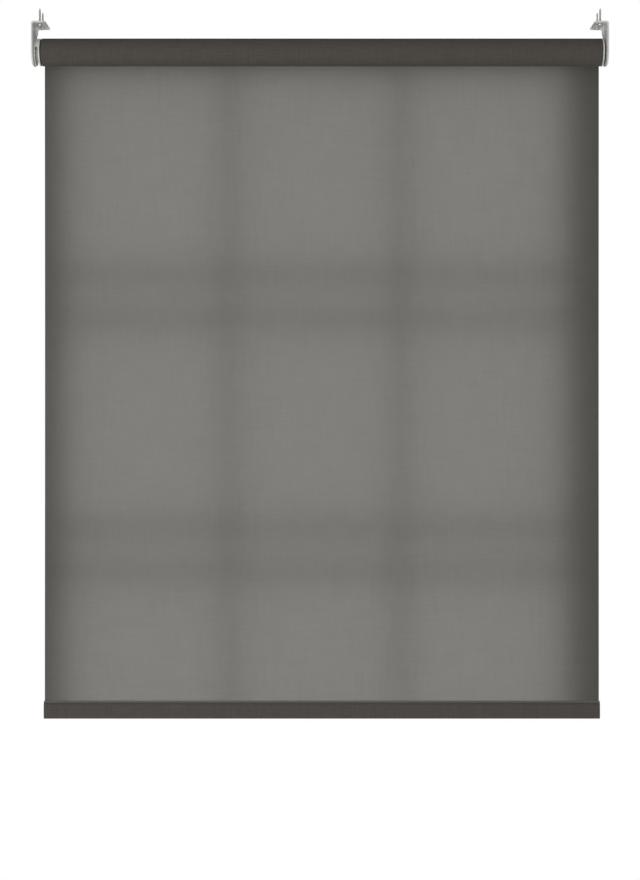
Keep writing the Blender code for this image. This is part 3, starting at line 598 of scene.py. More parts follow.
core_low, core_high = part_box("control_core")
guard_low, guard_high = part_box("chain_guard")
ear_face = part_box("control_bracket")[0][0] + WALL
plate_front = guard_low[0] - CLEARANCE
plate_radius = core_high[1]
shaft_end = core_high[0] - NECK_LENGTH


def lathe(name, corners, closed=False, turns=96, steps=5):
    """A profile of (along X, radius, corner radius) corners carried round the roller's axis;
    closed for a ring that doesn't reach the axis."""
    profile = rounded(corners, steps)
    if closed:
        profile = np.concatenate([profile, profile[:1]])
    angle = np.linspace(0, 2 * np.pi, turns + 1)
    x, radius = profile[:, :1] + 0 * angle, profile[:, 1:]
    grid = np.stack([x, radius * np.sin(angle), AXIS_Z + radius * np.cos(angle)], axis=-1)
    return surface(name, grid, sharp=35)


def bar_along_x(name, low_x, high_x, half_y, half_z, middle_z=0.0, corner=0.4 * MM):
    """A rounded bar beside the roller's axis, with eased ends."""
    ease = corner / 2
    steps = ((low_x, -ease), (low_x + ease, 0), (high_x - ease, 0), (high_x, -ease))
    rings = [
        ring_at(box_outline(half_y + g, half_z + g, corner + g, (0, AXIS_Z + middle_z)), "X", x)
        for x, g in steps
    ]
    return surface(name, stack(rings))


core = lathe(
    "control_core_moulding",
    [
        (ear_face + CLEARANCE, 0, 0),
        (ear_face + CLEARANCE, plate_radius, 0.5 * MM),
        (plate_front, plate_radius, 0.5 * MM),
        (plate_front, plate_radius - PLATE_RIM, 0.15 * MM),
        (plate_front - PLATE_SINK, plate_radius - PLATE_RIM - PLATE_SINK, 0.15 * MM),
        (plate_front - PLATE_SINK, SHAFT_RADIUS, 0.6 * MM),
        (shaft_end, SHAFT_RADIUS, 0.4 * MM),
        (shaft_end, NECK_RADIUS, 0.3 * MM),
        (core_high[0], NECK_RADIUS, 0.4 * MM),
        (core_high[0], SCREW_HOLE[0], 0.2 * MM),
        (core_high[0] - SCREW_HOLE[1], SCREW_HOLE[0], 0),
        (core_high[0] - SCREW_HOLE[1], 0, 0),
    ],
)
key_y, key_z = KEY_SLOT[0] - CLEARANCE, KEY_SLOT[1] - CLEARANCE
key = bar_along_x("key", core_low[0], ear_face + MM, key_y, key_z)
carve(core, [key], "UNION")
fit(core, FIXED_BODY, "bracket_plastic", MILKY, "control_core")


# ---- Chain guard ---------------------------------------------------------------
# A moulded cheek beside the bead wheel with a skirt over its top. The skirt ends a little
# above the axis at the front and the back, where a bead chain would leave the wheel.

CHEEK_WALL, SKIRT_WALL = 2.0 * MM, 1.6 * MM
SKIRT_ABOVE = 4.9 * MM  # the skirt's ends lie this far above the axis
SLEEVE_RADIUS = 13.1 * MM
SKIRT_CORNER = 0.9 * MM
SKIRT_END = 0.0005  # radians over which the skirt drops to the cheek at its ends
SKIRT_COLUMNS, CHEEK_COLUMNS = 79, 61


def guard_surface():
    """The guard's section, turned about the axis. The skirt's length is full over the top and
    1 - c(1 - sqrt(1 - q q)) of it round its corners, then nothing, so that past its ends the
    section lies flat on the cheek."""
    outer, bore = guard_high[1], SLEEVE_RADIUS + CLEARANCE
    back, cheek, tip = guard_high[0], guard_high[0] - CHEEK_WALL, guard_low[0]
    section = rounded(
        [
            (back, bore, 0.4 * MM),
            (back, outer, 0.6 * MM),
            (tip, outer, 0.4 * MM),
            (tip, outer - SKIRT_WALL, 0.4 * MM),
            (cheek, outer - SKIRT_WALL, 0.3 * MM),
            (cheek, bore, 0.3 * MM),
        ],
        5,
    )
    section = np.concatenate([section, section[:1]])
    half, corner = np.arccos(SKIRT_ABOVE / outer), SKIRT_CORNER / outer
    q = np.linspace(0, 1, 8)
    fall = 1 - SKIRT_CORNER / (cheek - tip) * (1 - np.sqrt(1 - q**2))
    angle = np.concatenate([
        corner * q - half,
        np.linspace(corner - half, half - corner, SKIRT_COLUMNS + 2)[1:-1],
        half - corner + corner * q,
        np.linspace(half + SKIRT_END, 2 * np.pi - half - SKIRT_END, CHEEK_COLUMNS),
        [2 * np.pi - half],
    ])
    skirt, bare = np.ones(SKIRT_COLUMNS), np.zeros(CHEEK_COLUMNS)
    length = np.concatenate([fall[::-1], skirt, fall, bare, fall[-1:]])
    x, radius = section[:, :1], section[:, 1:]
    x = np.where(x < cheek, cheek - (cheek - x) * length, x + 0 * length)
    grid = np.stack([x, radius * np.sin(angle), AXIS_Z + radius * np.cos(angle)], axis=-1)
    return surface("chain_guard_moulding", grid, sharp=35)


fit(guard_surface(), FIXED_BODY, "bracket_plastic", MILKY, "chain_guard")


# ---- Bead wheel ----------------------------------------------------------------
# The moulded wheel that a bead chain turns: sixteen pockets with a groove for the cord
# between the beads. Its sleeve runs round the springs and ends in a finger that pushes
# their tangs.

WHEEL_BODY = "chain_wheel"
POCKETS = 16
BEAD_PITCH, BEAD_RADIUS = 6.0 * MM, 2.25 * MM
CORD_GROOVE = (0.7 * MM, 0.9 * MM)  # half width, and depth below the pitch circle
SLEEVE_COLLAR, SLEEVE_BORE = 10.6 * MM, 12.0 * MM
FINGER_RISE = 7.0 * MM
RIM_EASE = 0.25 * MM  # how far the rim falls at its two edges
POCKET_COLUMNS = 20

wheel_low, wheel_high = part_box("chain_wheel")
wheel_back = guard_high[0] - CHEEK_WALL - CLEARANCE
collar_end = wheel_back + SLEEVE_COLLAR


def wheel_surface():
    """The wheel as radius(row, turn). The rim is the lowest of the wheel's own radius, the
    cord groove, and spheres set on the pitch circle: p cos d - sqrt(b b - w w - (p sin d)^2)
    for a turn d from a pocket's middle and a distance w from the wheel's middle plane."""
    pitch = BEAD_PITCH * POCKETS / (2 * np.pi)
    middle, half = (wheel_low[0] + wheel_back) / 2, (wheel_back - wheel_low[0]) / 2
    turn = np.linspace(0, 2 * np.pi, POCKETS * POCKET_COLUMNS + 1)
    off = ((turn * POCKETS / (2 * np.pi)) % 1 - 0.5) * 2 * np.pi / POCKETS
    w = half * np.cos(np.linspace(0, np.pi, 25))[:, None]
    inside = (BEAD_RADIUS + CLEARANCE) ** 2 - w**2 - (pitch * np.sin(off)) ** 2
    pocket = np.where(inside > 0, pitch * np.cos(off) - np.sqrt(np.abs(inside)), wheel_high[1])
    groove = np.where(np.abs(w) < CORD_GROOVE[0], pitch - CORD_GROOVE[1], wheel_high[1])
    own = wheel_high[1] - RIM_EASE * (w / half) ** 8
    rim = np.minimum(np.minimum(pocket, groove), own)
    tip, bore = wheel_high[0], SHAFT_RADIUS + CLEARANCE
    before = [(tip, SLEEVE_BORE), (tip, SLEEVE_RADIUS), (wheel_back, SLEEVE_RADIUS)]
    after = [(wheel_low[0], bore), (collar_end, bore), (collar_end, SLEEVE_BORE), before[0]]
    x = np.concatenate([[[at] for at, _ in before], middle + w, [[at] for at, _ in after]])
    radii = [[[r] for _, r in part] + 0 * turn for part in (before, after)]
    radius = np.concatenate([radii[0], rim, radii[1]])
    grid = np.stack([x + 0 * turn, radius * np.sin(turn), AXIS_Z + radius * np.cos(turn)], axis=-1)
    return surface("chain_wheel_moulding", grid, sharp=35)


wheel = wheel_surface()
drop = SLEEVE_RADIUS + 2 * MM  # the cut takes all of the sleeve below the finger
finger_cut = bar_along_x(
    "finger cut", collar_end, wheel_high[0] + MM, drop, (drop + FINGER_RISE) / 2,
    (FINGER_RISE - drop) / 2,
)
carve(wheel, [finger_cut])
fit(wheel, WHEEL_BODY, "bracket_plastic", MILKY, "chain_wheel")


# ---- Wrap springs --------------------------------------------------------------
# Two coils of hard spring wire, wound opposite ways, that grip the shaft until one of their
# turned-out tangs is pushed.

SPRING_WIRE, SPRING_TURNS, SPRING_LAY = 1.2 * MM, 4, 1.55 * MM
TANG_ANGLE = np.radians(66)  # from straight up
CUT_END = 0.75  # size of a wire's cut end, beside the wire


def wire(name, path, radius, sides=12):
    """A round wire along a path that winds about X: each ring lies across the path, on the
    two directions square to it, the first of them the nearest to X."""
    ahead = unit(np.gradient(path, axis=0))
    beside = unit(np.array([1.0, 0.0, 0.0]) - ahead[:, :1] * ahead)
    third = np.cross(ahead, beside)
    turn = np.linspace(0, 2 * np.pi, sides, endpoint=False)[:, None]
    rings = path[:, None] + radius * (np.cos(turn) * beside[:, None] + np.sin(turn) * third[:, None])
    first_last = rings[[0, -1]]
    ends = first_last.mean(axis=1, keepdims=True) * (1 - CUT_END) + first_last * CUT_END
    return surface(name, stack([ends[0], *rings, ends[1]]), sharp=50)


def coil(start, lay, turns, radius, first, hand=1, facets=40):
    """Points of a helix about the roller's axis: x = start + lay t, and an angle from straight
    up of first + hand 2 pi t, for t turns."""
    t = np.linspace(0, turns, turns * facets + 1)
    angle = first + hand * 2 * np.pi * t
    y, z = radius * np.sin(angle), AXIS_Z + radius * np.cos(angle)
    return np.stack([start + lay * t, y, z], axis=-1)


STEEL = metal("spring steel", (0.30, 0.30, 0.31), (0.44, 0.44, 0.45), (0.2, 0.34), (0.3, 1, 1))

for name, hand in (("wrap_spring_outer", 1), ("wrap_spring_inner", -1)):
    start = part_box(name)[0][0] + SPRING_WIRE / 2
    radius = SHAFT_RADIUS + CLEARANCE + SPRING_WIRE / 2
    path = coil(start, SPRING_LAY, SPRING_TURNS, radius, hand * TANG_ANGLE, hand)
    centre = np.array([0.0, 0.0, AXIS_Z])
    reach = (SLEEVE_RADIUS - SPRING_WIRE / 2) / radius
    outward = np.array([1.0, reach, reach])
    tangs = [(path[i] - centre) * outward + centre for i in (0, -1)]
    path = np.concatenate([tangs[:1], path, tangs[1:]])
    fit(wire(name + "_wound", path, SPRING_WIRE / 2), ROLLER_BODY, "spring_steel", STEEL, name)


# ---- Drive plug ----------------------------------------------------------------
# The turning half of the control unit: a dark moulded cup pushed into the tube. Its flange
# shows as a thin dark ring beside the fabric, a keyway takes the tube's inner rib, and a rib
# in its bore meets the springs' tangs.

FLANGE_WALL = 1.3 * MM
TUBE_RADIUS, TUBE_WALL = 20.0 * MM, 1.2 * MM
DRIVE_BORE = SLEEVE_RADIUS + CLEARANCE
GROOVE_WIDTH, GROOVE_DEPTH = 5.0 * MM, 1.8 * MM
TANG_RIB = 6 * MM

plug_low, plug_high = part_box("drive_plug")
plug_radius = TUBE_RADIUS - TUBE_WALL - CLEARANCE
web = shaft_end + CLEARANCE
rib_tip = TUBE_RADIUS - GROOVE_DEPTH - TUBE_WALL
keyway_half = GROOVE_WIDTH / 2 + TUBE_WALL + CLEARANCE

DARK = plastic("dark plastic", (0.022, 0.022, 0.022), (0.038, 0.038, 0.037), (0.42, 0.56))


def keyway(low_x, high_x):
    """The space that the tube's inner rib takes up in a plug."""
    low, high = rib_tip - CLEARANCE, TUBE_RADIUS + MM
    return bar_along_x("keyway", low_x, high_x, keyway_half, (high - low) / 2, (low + high) / 2)


plug = lathe(
    "drive_plug_moulding",
    [
        (plug_high[0], NECK_RADIUS + CLEARANCE, 0.2 * MM),
        (plug_high[0], plug_radius, 0.8 * MM),
        (plug_low[0] + FLANGE_WALL, plug_radius, 0),
        (plug_low[0] + FLANGE_WALL, TUBE_RADIUS, 0.4 * MM),
        (plug_low[0], TUBE_RADIUS, 0.4 * MM),
        (plug_low[0], DRIVE_BORE, 0.3 * MM),
        (web, DRIVE_BORE, 0.5 * MM),
        (web, NECK_RADIUS + CLEARANCE, 0.2 * MM),
    ],
    closed=True,
)
carve(plug, [keyway(plug_low[0] + FLANGE_WALL, plug_high[0] + MM)])
rib_low, rib_high = -DRIVE_BORE - CLEARANCE, -SLEEVE_BORE
tang_rib = bar_along_x(
    "tang rib", collar_end + CLEARANCE, web + MM, TANG_RIB / 2, (rib_high - rib_low) / 2,
    (rib_low + rib_high) / 2, 0.3 * MM,
)
carve(plug, [tang_rib], "UNION")
fit(plug, ROLLER_BODY, "dark_plastic", DARK, "drive_plug")


# ---- Core washer and screw -----------------------------------------------------
# A zinc-plated washer and a slotted self-tapping screw in the core's neck, which keep the
# drive plug on its shaft.

washer_low, washer_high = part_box("core_washer")
washer = lathe(
    "core_washer_pressed",
    [
        (washer_high[0], SCREW_HOLE[0], 0.1 * MM),
        (washer_high[0], washer_high[1], 0.3 * MM),
        (washer_low[0], washer_high[1], 0.2 * MM),
        (washer_low[0], SCREW_HOLE[0], 0.1 * MM),
    ],
    closed=True,
)
fit(washer, FIXED_BODY, "zinc_steel", ZINC, "core_washer")

CORE_THREAD, CORE_ROOT, CORE_PITCH = 1.5 * MM, 1.1 * MM, 1.2 * MM
CORE_HEAD_HEIGHT = 2.4 * MM
START_SHARE = 0.7  # size of the core at its tip, beside the rest
SLOT_CUT = (0.5 * MM, 1.3 * MM)  # half width and depth of the driving slot


def core_screw_surface(low, high):
    """The screw as radius(row, turn) along X: a thread whose crest follows
    x / pitch + turn, then the head's rounded profile."""
    turn = np.linspace(0, 2 * np.pi, 49)
    seat = high[0] - CORE_HEAD_HEIGHT
    x = np.arange(low[0], seat, CORE_PITCH / 8)
    phase = (x[:, None] / CORE_PITCH + turn / (2 * np.pi)) % 1
    crest = np.maximum(0, 1 - np.abs(phase - 0.5) * CREST_SLOPE)
    start = np.clip((x - low[0]) / (2 * CORE_PITCH), 0, 1)[:, None]
    shank = CORE_ROOT + (CORE_THREAD - CORE_ROOT) * crest * start
    shank *= START_SHARE + (1 - START_SHARE) * start
    shank[0] = 0.0
    steps = 6
    head = rounded(
        [
            (seat, 0, 0),
            (seat, CORE_ROOT, 0),
            (seat, high[1], 0.2 * MM),
            (high[0], high[1], 1.1 * MM),
            (high[0], 0, 0),
        ],
        steps,
    )
    head = head[steps + 1:]  # the profile starts at the shank, not on the axis
    radius = np.concatenate([shank, head[:, 1:] + 0 * turn])
    x = np.concatenate([x, head[:, 0]])[:, None] + 0 * turn
    grid = np.stack([x, radius * np.sin(turn), AXIS_Z + radius * np.cos(turn)], axis=-1)
    return surface("core_screw_threaded", grid, sharp=30)


screw_low, screw_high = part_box("core_screw")
core_screw = core_screw_surface(screw_low, screw_high)
slot_tool = bar_along_x(
    "driving slot", screw_high[0] - SLOT_CUT[1], screw_high[0] + MM, 5 * MM, SLOT_CUT[0],
    corner=0.1 * MM,
)
carve(core_screw, [slot_tool])
fit(core_screw, FIXED_BODY, "zinc_steel", ZINC, "core_screw")


# ---- Roller tube and fabric spline ---------------------------------------------
# An extruded aluminium tube. A groove along its outside takes the fabric's top edge, locked
# by a clear strip, and the groove's own wall makes the rib inside that turns the plugs.


def tube_grid(outer, inner, low_x, high_x, ease=0.15 * MM):
    """A hollow section along X: out along the outer outline, back along the inner one, with
    each mouth's edges eased by drawing the outlines together."""
    mix = ease / np.linalg.norm(outer - inner, axis=1, keepdims=True).mean()
    near_outer, near_inner = outer + (inner - outer) * mix, inner + (outer - inner) * mix
    rows = ((near_outer, low_x), (outer, low_x + ease), (outer, high_x - ease), (near_outer, high_x))
    rows += ((near_inner, high_x), (inner, high_x - ease), (inner, low_x + ease))
    rows += ((near_inner, low_x), (near_outer, low_x))
    grid = np.stack([ring_at(outline, "X", x) for outline, x in rows])
    return np.concatenate([grid, grid[:, :1]], axis=1)


def notched_circle(radius, half_width, floor, facets=120):
    """A circle about the roller's axis whose top is cut down to a flat floor."""
    edge = np.arcsin(half_width / radius)
    angle = np.linspace(edge, 2 * np.pi - edge, facets)
    ring = radius * np.stack([np.sin(angle), np.cos(angle)], axis=-1)
    notch = np.array([[-half_width, floor], [0.0, floor], [half_width, floor]])
    return np.concatenate([ring, notch]) + [0, AXIS_Z]


ALUMINIUM = metal(
    "extruded aluminium", (0.56, 0.57, 0.58), (0.68, 0.68, 0.69), rough=(0.24, 0.4),
    stretch=(0.02, 1, 1),
)

outside = notched_circle(TUBE_RADIUS, GROOVE_WIDTH / 2, TUBE_RADIUS - GROOVE_DEPTH)
inside = notched_circle(TUBE_RADIUS - TUBE_WALL, GROOVE_WIDTH / 2 + TUBE_WALL, rib_tip)
tube_walls = tube_grid(outside, inside, tube_low[0], tube_high[0])
tube = surface("roller_tube_extrusion", tube_walls, sharp=30)
fit(tube, ROLLER_BODY, "aluminium", ALUMINIUM, "roller_tube")

spline_low, spline_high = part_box("fabric_spline")
CLEAR = plastic("clear strip", (0.42, 0.42, 0.40), (0.5, 0.5, 0.48), (0.2, 0.3))
strip_z = (spline_low[2] + spline_high[2]) / 2 - AXIS_Z
strip = bar_along_x(
    "fabric_spline_strip", spline_low[0], spline_high[0], spline_high[1],
    (spline_high[2] - spline_low[2]) / 2, strip_z, 0.35 * MM,
)
fit(strip, ROLLER_BODY, "spline_plastic", CLEAR, "fabric_spline")


# ---- Wound fabric --------------------------------------------------------------
# Nearly three turns of the blind's cloth, wound from the tube's groove. Its ends show the
# layers as a spiral, each turn a hair out of line with the last.

CLOTH = 0.45 * MM  # thickness of the fabric
ROLL_RADIUS, ROLL_WALL = 21.75 * MM, 1.2 * MM
LAST_STRETCH = 0.14  # share of a turn over which the outside comes back to its full radius
ROLL_BOW = 0.0012  # how far the roll is out of round
LAYER_DIP = 0.16 * MM  # depth between two layers at the roll's ends
LAYER_STRAY = 0.22 * MM  # how far a turn stands out of line
YARN_DEPTH = 0.03 * MM


def weave_group():
    """Plain-woven cloth on a flat place in metres: Yarn is sin x sin y of the thread count,
    up where a warp thread crosses over and down where it dips. Slub is thick and thin places
    drawn out along the weft and the warp, and Pile a fine broken nap."""
    inputs = {"Place": "NodeSocketVector", "Threads": "NodeSocketFloat"}
    tree, source, result = shader_group("plain weave", inputs, ("Yarn", "Slub", "Pile"))
    place = source.outputs["Place"]
    scaled = node(tree, "ShaderNodeVectorMath", {0: place}, operation="SCALE")
    tree.links.new(source.outputs["Threads"], scaled.inputs["Scale"])
    parts = node(tree, "ShaderNodeSeparateXYZ", {0: scaled.outputs[0]})
    waves = [
        node(tree, "ShaderNodeMath", {0: parts.outputs[way]}, operation="SINE").outputs[0]
        for way in ("X", "Y")
    ]
    crossing = node(tree, "ShaderNodeMath", {0: waves[0], 1: waves[1]}, operation="MULTIPLY")
    streaks = []
    for stretch in ((0.06, 1.0, 1.0), (1.0, 0.05, 1.0)):
        drawn = node(tree, "ShaderNodeMapping", {"Vector": place, "Scale": stretch})
        values = {"Vector": drawn.outputs[0], "Scale": 620.0, "Detail": 3.0, "Roughness": 0.55}
        streaks.append(node(tree, "ShaderNodeTexNoise", values).outputs[0])
    slub = node(tree, "ShaderNodeMath", {0: streaks[0], 1: streaks[1]}, operation="ADD")
    halved = node(tree, "ShaderNodeMath", {0: slub.outputs[0], 1: 0.5}, operation="MULTIPLY")
    nap = node(tree, "ShaderNodeTexNoise", {"Vector": place, "Scale": 1500.0, "Detail": 2.0})
    for socket, made in (("Yarn", crossing), ("Slub", halved), ("Pile", nap)):
        tree.links.new(made.outputs[0], result.inputs[socket])
    return tree


WEAVE = weave_group()
THREADS = 2 * np.pi / (1.1 * MM)  # radians of weave per metre, two threads to a turn


def woven(name, dark, light, threads=THREADS, from_uv=False):
    """The blind's cloth between two near colours. Flat cloth reads its own X and Z, and cloth
    wound or folded round something reads the UV map along its surface."""
    made, tree, shader, place = material(name)
    if from_uv:
        place = node(tree, "ShaderNodeUVMap", uv_map="cloth").outputs[0]
    else:
        upright = {"Vector": place, "Rotation": (-np.pi / 2, 0.0, 0.0)}
        place = node(tree, "ShaderNodeMapping", upright).outputs[0]
    weave = node(tree, "ShaderNodeGroup", node_tree=WEAVE)
    weave.inputs["Threads"].default_value = threads
    tree.links.new(place, weave.inputs["Place"])
    slub = weave.outputs["Slub"]
    tree.links.new(varied(tree, slub, dark, light, 0.36, 0.64), shader.inputs["Base Color"])
    tree.links.new(spread(tree, weave.outputs["Pile"], 0.78, 0.95), shader.inputs["Roughness"])
    shader.inputs["Specular IOR Level"].default_value = 0.15
    shader.inputs["Sheen Weight"].default_value = 0.03
    shader.inputs["Sheen Roughness"].default_value = 0.5
    relief(tree, shader, weave.outputs["Yarn"], YARN_DEPTH)
    return made, tree, shader, place


WOUND_CLOTH = woven(
    "blind cloth, wound", (0.058, 0.052, 0.046), (0.076, 0.069, 0.061), from_uv=True,
)[0]


def roll_surface():
    """The roll as a ring whose outer radius falls by one layer in a turn, measured from where
    the fabric leaves at the back, and eases back over the last of it. Across an end face,
    a layer is the whole part of (outer - r) / layer; each dips at its edges by
    1 - |sin(pi part)| and strays by a sine of its number. The outside bows a hair by a
    product of sines along X and round the turn."""
    low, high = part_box("fabric_roll")
    inner = -low[1] - ROLL_WALL
    turn = np.linspace(0, 2 * np.pi, 161)
    ease = np.clip((turn / (2 * np.pi) - 1 + LAST_STRETCH) / LAST_STRETCH, 0, 1)
    spiral = ROLL_RADIUS - CLOTH * turn / (2 * np.pi)
    outer = spiral + (ROLL_RADIUS - spiral) * ease**2 * (3 - 2 * ease)
    share = np.linspace(0, 1, 37)[:, None]
    radius = outer - (outer - inner) * share
    layer = (spiral - radius) / CLOTH
    edge = 1 - np.abs(np.sin(np.pi * layer)) ** 0.5
    stray = np.sin(2.4 * np.floor(layer) + 1.0) * np.abs(np.sin(np.pi * layer)) ** 0.3
    fade = np.minimum(1, 8 * share) * np.minimum(1, 8 * (1 - share))
    sink = (LAYER_DIP * edge + LAYER_STRAY * (0.5 - 0.5 * stray)) * fade
    x = np.linspace(low[0], high[0], 90)[:, None]
    bow = 1 + ROLL_BOW * np.sin(x * 21) * np.sin(2 * turn + x * 9)

    def round_axis(x, radius):
        return np.stack([x, radius * np.cos(turn), radius * np.sin(turn)], axis=-1)

    skin = round_axis(x + 0 * turn, outer * bow)
    idle_end = round_axis(high[0] - sink, radius * bow[-1])
    control_end = round_axis(low[0] + sink, radius * bow[0])
    grid = np.concatenate([skin, idle_end, control_end[::-1]])
    place = np.stack([grid[..., 0], turn * ROLL_RADIUS + 0 * grid[..., 0]], axis=-1)
    place[len(x):, :, 0] += np.concatenate([radius, radius[::-1]])
    return surface("fabric_roll_wound", grid + [0, 0, AXIS_Z], uv=[place], sharp=60)


roll = roll_surface()
fit(roll, ROLLER_BODY, "blind_fabric", WOUND_CLOTH, "fabric_roll")


# ---- Idle end ------------------------------------------------------------------
# A milky plug pushed into the tube's free end, whose thin flange guides the fabric. The
# zinc-plated pin inside stands in the bracket's hole; it is pressed in against its coil
# spring to lift the blind out. A dark stepped ring closes the spring's chamber.

IDLE_FLANGE_WALL, IDLE_NOSE = 2.0 * MM, 6.2 * MM
CHAMBER_RADIUS, PIN_RADIUS = 7.1 * MM, 4.0 * MM
PIN_COLLAR_WALL, PIN_TAIL_RADIUS, PIN_TAIL_LENGTH = 2.0 * MM, 2.5 * MM, 22.5 * MM
PIN_SPRING_WIRE, PIN_SPRING_TURNS = 1.0 * MM, 7
RETAINER_HEAD = (9.1 * MM, 1.5 * MM)  # radius and wall
FACE_SINK = 0.6 * MM  # the flange's face is sunk by this much between its boss and its rim
FACE_BOSS, FACE_RIM = 4 * MM, 2.4 * MM

idle_low, idle_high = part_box("idle_plug")
flange_inner = idle_high[0] - IDLE_FLANGE_WALL
idle_plug = lathe(
    "idle_plug_moulding",
    [
        (idle_high[0], PIN_RADIUS + CLEARANCE, 0.3 * MM),
        (idle_high[0], PIN_RADIUS + FACE_BOSS, 0.2 * MM),
        (idle_high[0] - FACE_SINK, PIN_RADIUS + FACE_BOSS + FACE_SINK, 0.2 * MM),
        (idle_high[0] - FACE_SINK, idle_high[1] - FACE_RIM - FACE_SINK, 0.2 * MM),
        (idle_high[0], idle_high[1] - FACE_RIM, 0.2 * MM),
        (idle_high[0], idle_high[1], 0.5 * MM),
        (flange_inner, idle_high[1], 0.5 * MM),
        (flange_inner, plug_radius, 0.1 * MM),
        (idle_low[0], plug_radius, 0.8 * MM),
        (idle_low[0], CHAMBER_RADIUS, 0.3 * MM),
        (idle_high[0] - IDLE_NOSE, CHAMBER_RADIUS, 0.2 * MM),
        (idle_high[0] - IDLE_NOSE, PIN_RADIUS + CLEARANCE, 0.1 * MM),
    ],
    closed=True,
)
carve(idle_plug, [keyway(idle_low[0] - MM, flange_inner - CLEARANCE)])
fit(idle_plug, ROLLER_BODY, "bracket_plastic", MILKY, "idle_plug")

pin_low, pin_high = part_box("idle_pin")
collar_back = pin_low[0] + PIN_TAIL_LENGTH
pin = lathe(
    "idle_pin_turned",
    [
        (pin_high[0], 0, 0),
        (pin_high[0], PIN_RADIUS, 0.9 * MM),
        (collar_back + PIN_COLLAR_WALL, PIN_RADIUS, 0.2 * MM),
        (collar_back + PIN_COLLAR_WALL, pin_high[1], 0.3 * MM),
        (collar_back, pin_high[1], 0.3 * MM),
        (collar_back, PIN_TAIL_RADIUS, 0.2 * MM),
        (pin_low[0], PIN_TAIL_RADIUS, 0.5 * MM),
        (pin_low[0], 0, 0),
    ],
)
fit(pin, "idle_pin", "zinc_steel", ZINC, "idle_pin")

retainer_low, retainer_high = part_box("idle_spring_retainer")
retainer_bore, retainer_body = PIN_TAIL_RADIUS + CLEARANCE, CHAMBER_RADIUS - CLEARANCE
retainer = lathe(
    "idle_spring_retainer_moulding",
    [
        (retainer_high[0], retainer_bore, 0.2 * MM),
        (retainer_high[0], retainer_body, 0.5 * MM),
        (retainer_low[0] + RETAINER_HEAD[1], retainer_body, 0.1 * MM),
        (retainer_low[0] + RETAINER_HEAD[1], RETAINER_HEAD[0], 0.3 * MM),
        (retainer_low[0], RETAINER_HEAD[0], 0.4 * MM),
        (retainer_low[0], retainer_bore, 0.3 * MM),
    ],
    closed=True,
)
fit(retainer, ROLLER_BODY, "dark_plastic", DARK, "idle_spring_retainer")

spring_low, spring_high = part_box("idle_pin_spring")
spring_length = spring_high[0] - spring_low[0]
spring_start = spring_low[0] + PIN_SPRING_WIRE / 2
spring_lay = (spring_length - PIN_SPRING_WIRE) / PIN_SPRING_TURNS
spring_radius = (PIN_TAIL_RADIUS + CHAMBER_RADIUS) / 2
path = coil(spring_start, spring_lay, PIN_SPRING_TURNS, spring_radius, 0.0)
pin_spring = wire("idle_pin_spring_wound", path, PIN_SPRING_WIRE / 2)
pin_spring.data.materials.append(STEEL)
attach(pin_spring, ROLLER_BODY)
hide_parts("idle_pin_spring")
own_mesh(pin_spring)


# ---- Hanging fabric ------------------------------------------------------------
# The cloth between the roll and the bottom bar: a light-filtering plain weave that light
# from behind glows through. It leaves the back of the roll, hangs a hair from flat, and is
# welded to the bar's pocket below.

TOP_WRAP = 3 * MM  # cloth that still lies on the roll above where it leaves it
WELD_REACH = 0.25 * MM  # cloth drawn down to the weld, a hair clear of it
EDGE_CUP, CUP_REACH = 0.9 * MM, 12 * MM  # how far the cut side edges curl, and how far in
THIN_END = 0.1  # thickness of the cloth's upper end, beside the rest
WAVES = ((0.9 * MM, 13.0, 1.3), (0.45 * MM, 27.0, 0.4))  # depth, radians a metre, start

sheet_middle = (sheet_low[1] + sheet_high[1]) / 2


def hanging_sheet():
    """The cloth as two skins half its thickness either side of a middle surface. Down its
    length d that surface hangs plumb, with soft waves of sin(pi d / drop) in depth and a
    curl of exp(-distance / reach) at its edges; above the axis it follows the roll, thinning
    almost to nothing."""
    x = np.linspace(sheet_low[0], sheet_high[0], 97)
    wrapped, plumb = np.linspace(-TOP_WRAP, 0, 9)[:-1], np.linspace(0, sheet_drop + WELD_REACH, 141)
    d = np.concatenate([wrapped, plumb])[:, None]
    hang = np.sin(np.pi * np.clip(d / sheet_drop, 0, 1)) ** 1.5
    wave = sum(depth * np.sin(rate * x + start) for depth, rate, start in WAVES)
    edge = np.minimum(x - sheet_low[0], sheet_high[0] - x)
    cup = EDGE_CUP * np.exp(-edge / CUP_REACH)
    turn = np.clip(-d, 0, None) / sheet_middle
    thick = CLOTH * np.clip(1 + d / TOP_WRAP, THIN_END, 1)
    skins = []
    for way in (-1, 1):
        radius = sheet_middle - (CLOTH - thick) / 2 + way * thick / 2
        y = radius * np.cos(turn) + (wave + cup) * hang
        z = AXIS_Z + radius * np.sin(turn) - np.clip(d, 0, None) + 0 * x
        skins.append(np.stack([x + 0 * y, y, z], axis=-1))
    front, back = skins
    sides = [np.stack([front[:, i], back[:, i]], axis=1) for i in (0, -1)]
    ends = [np.stack([front[i], back[i]]) for i in (0, -1)]
    return surface("hanging_fabric", front, back, *sides, *ends, sharp=50)


GLOW = ((0.52, 0.518, 0.503), (0.56, 0.559, 0.542))  # light let through thick and thin places
SEE_THROUGH = 0.4  # share of the cloth that lets light through


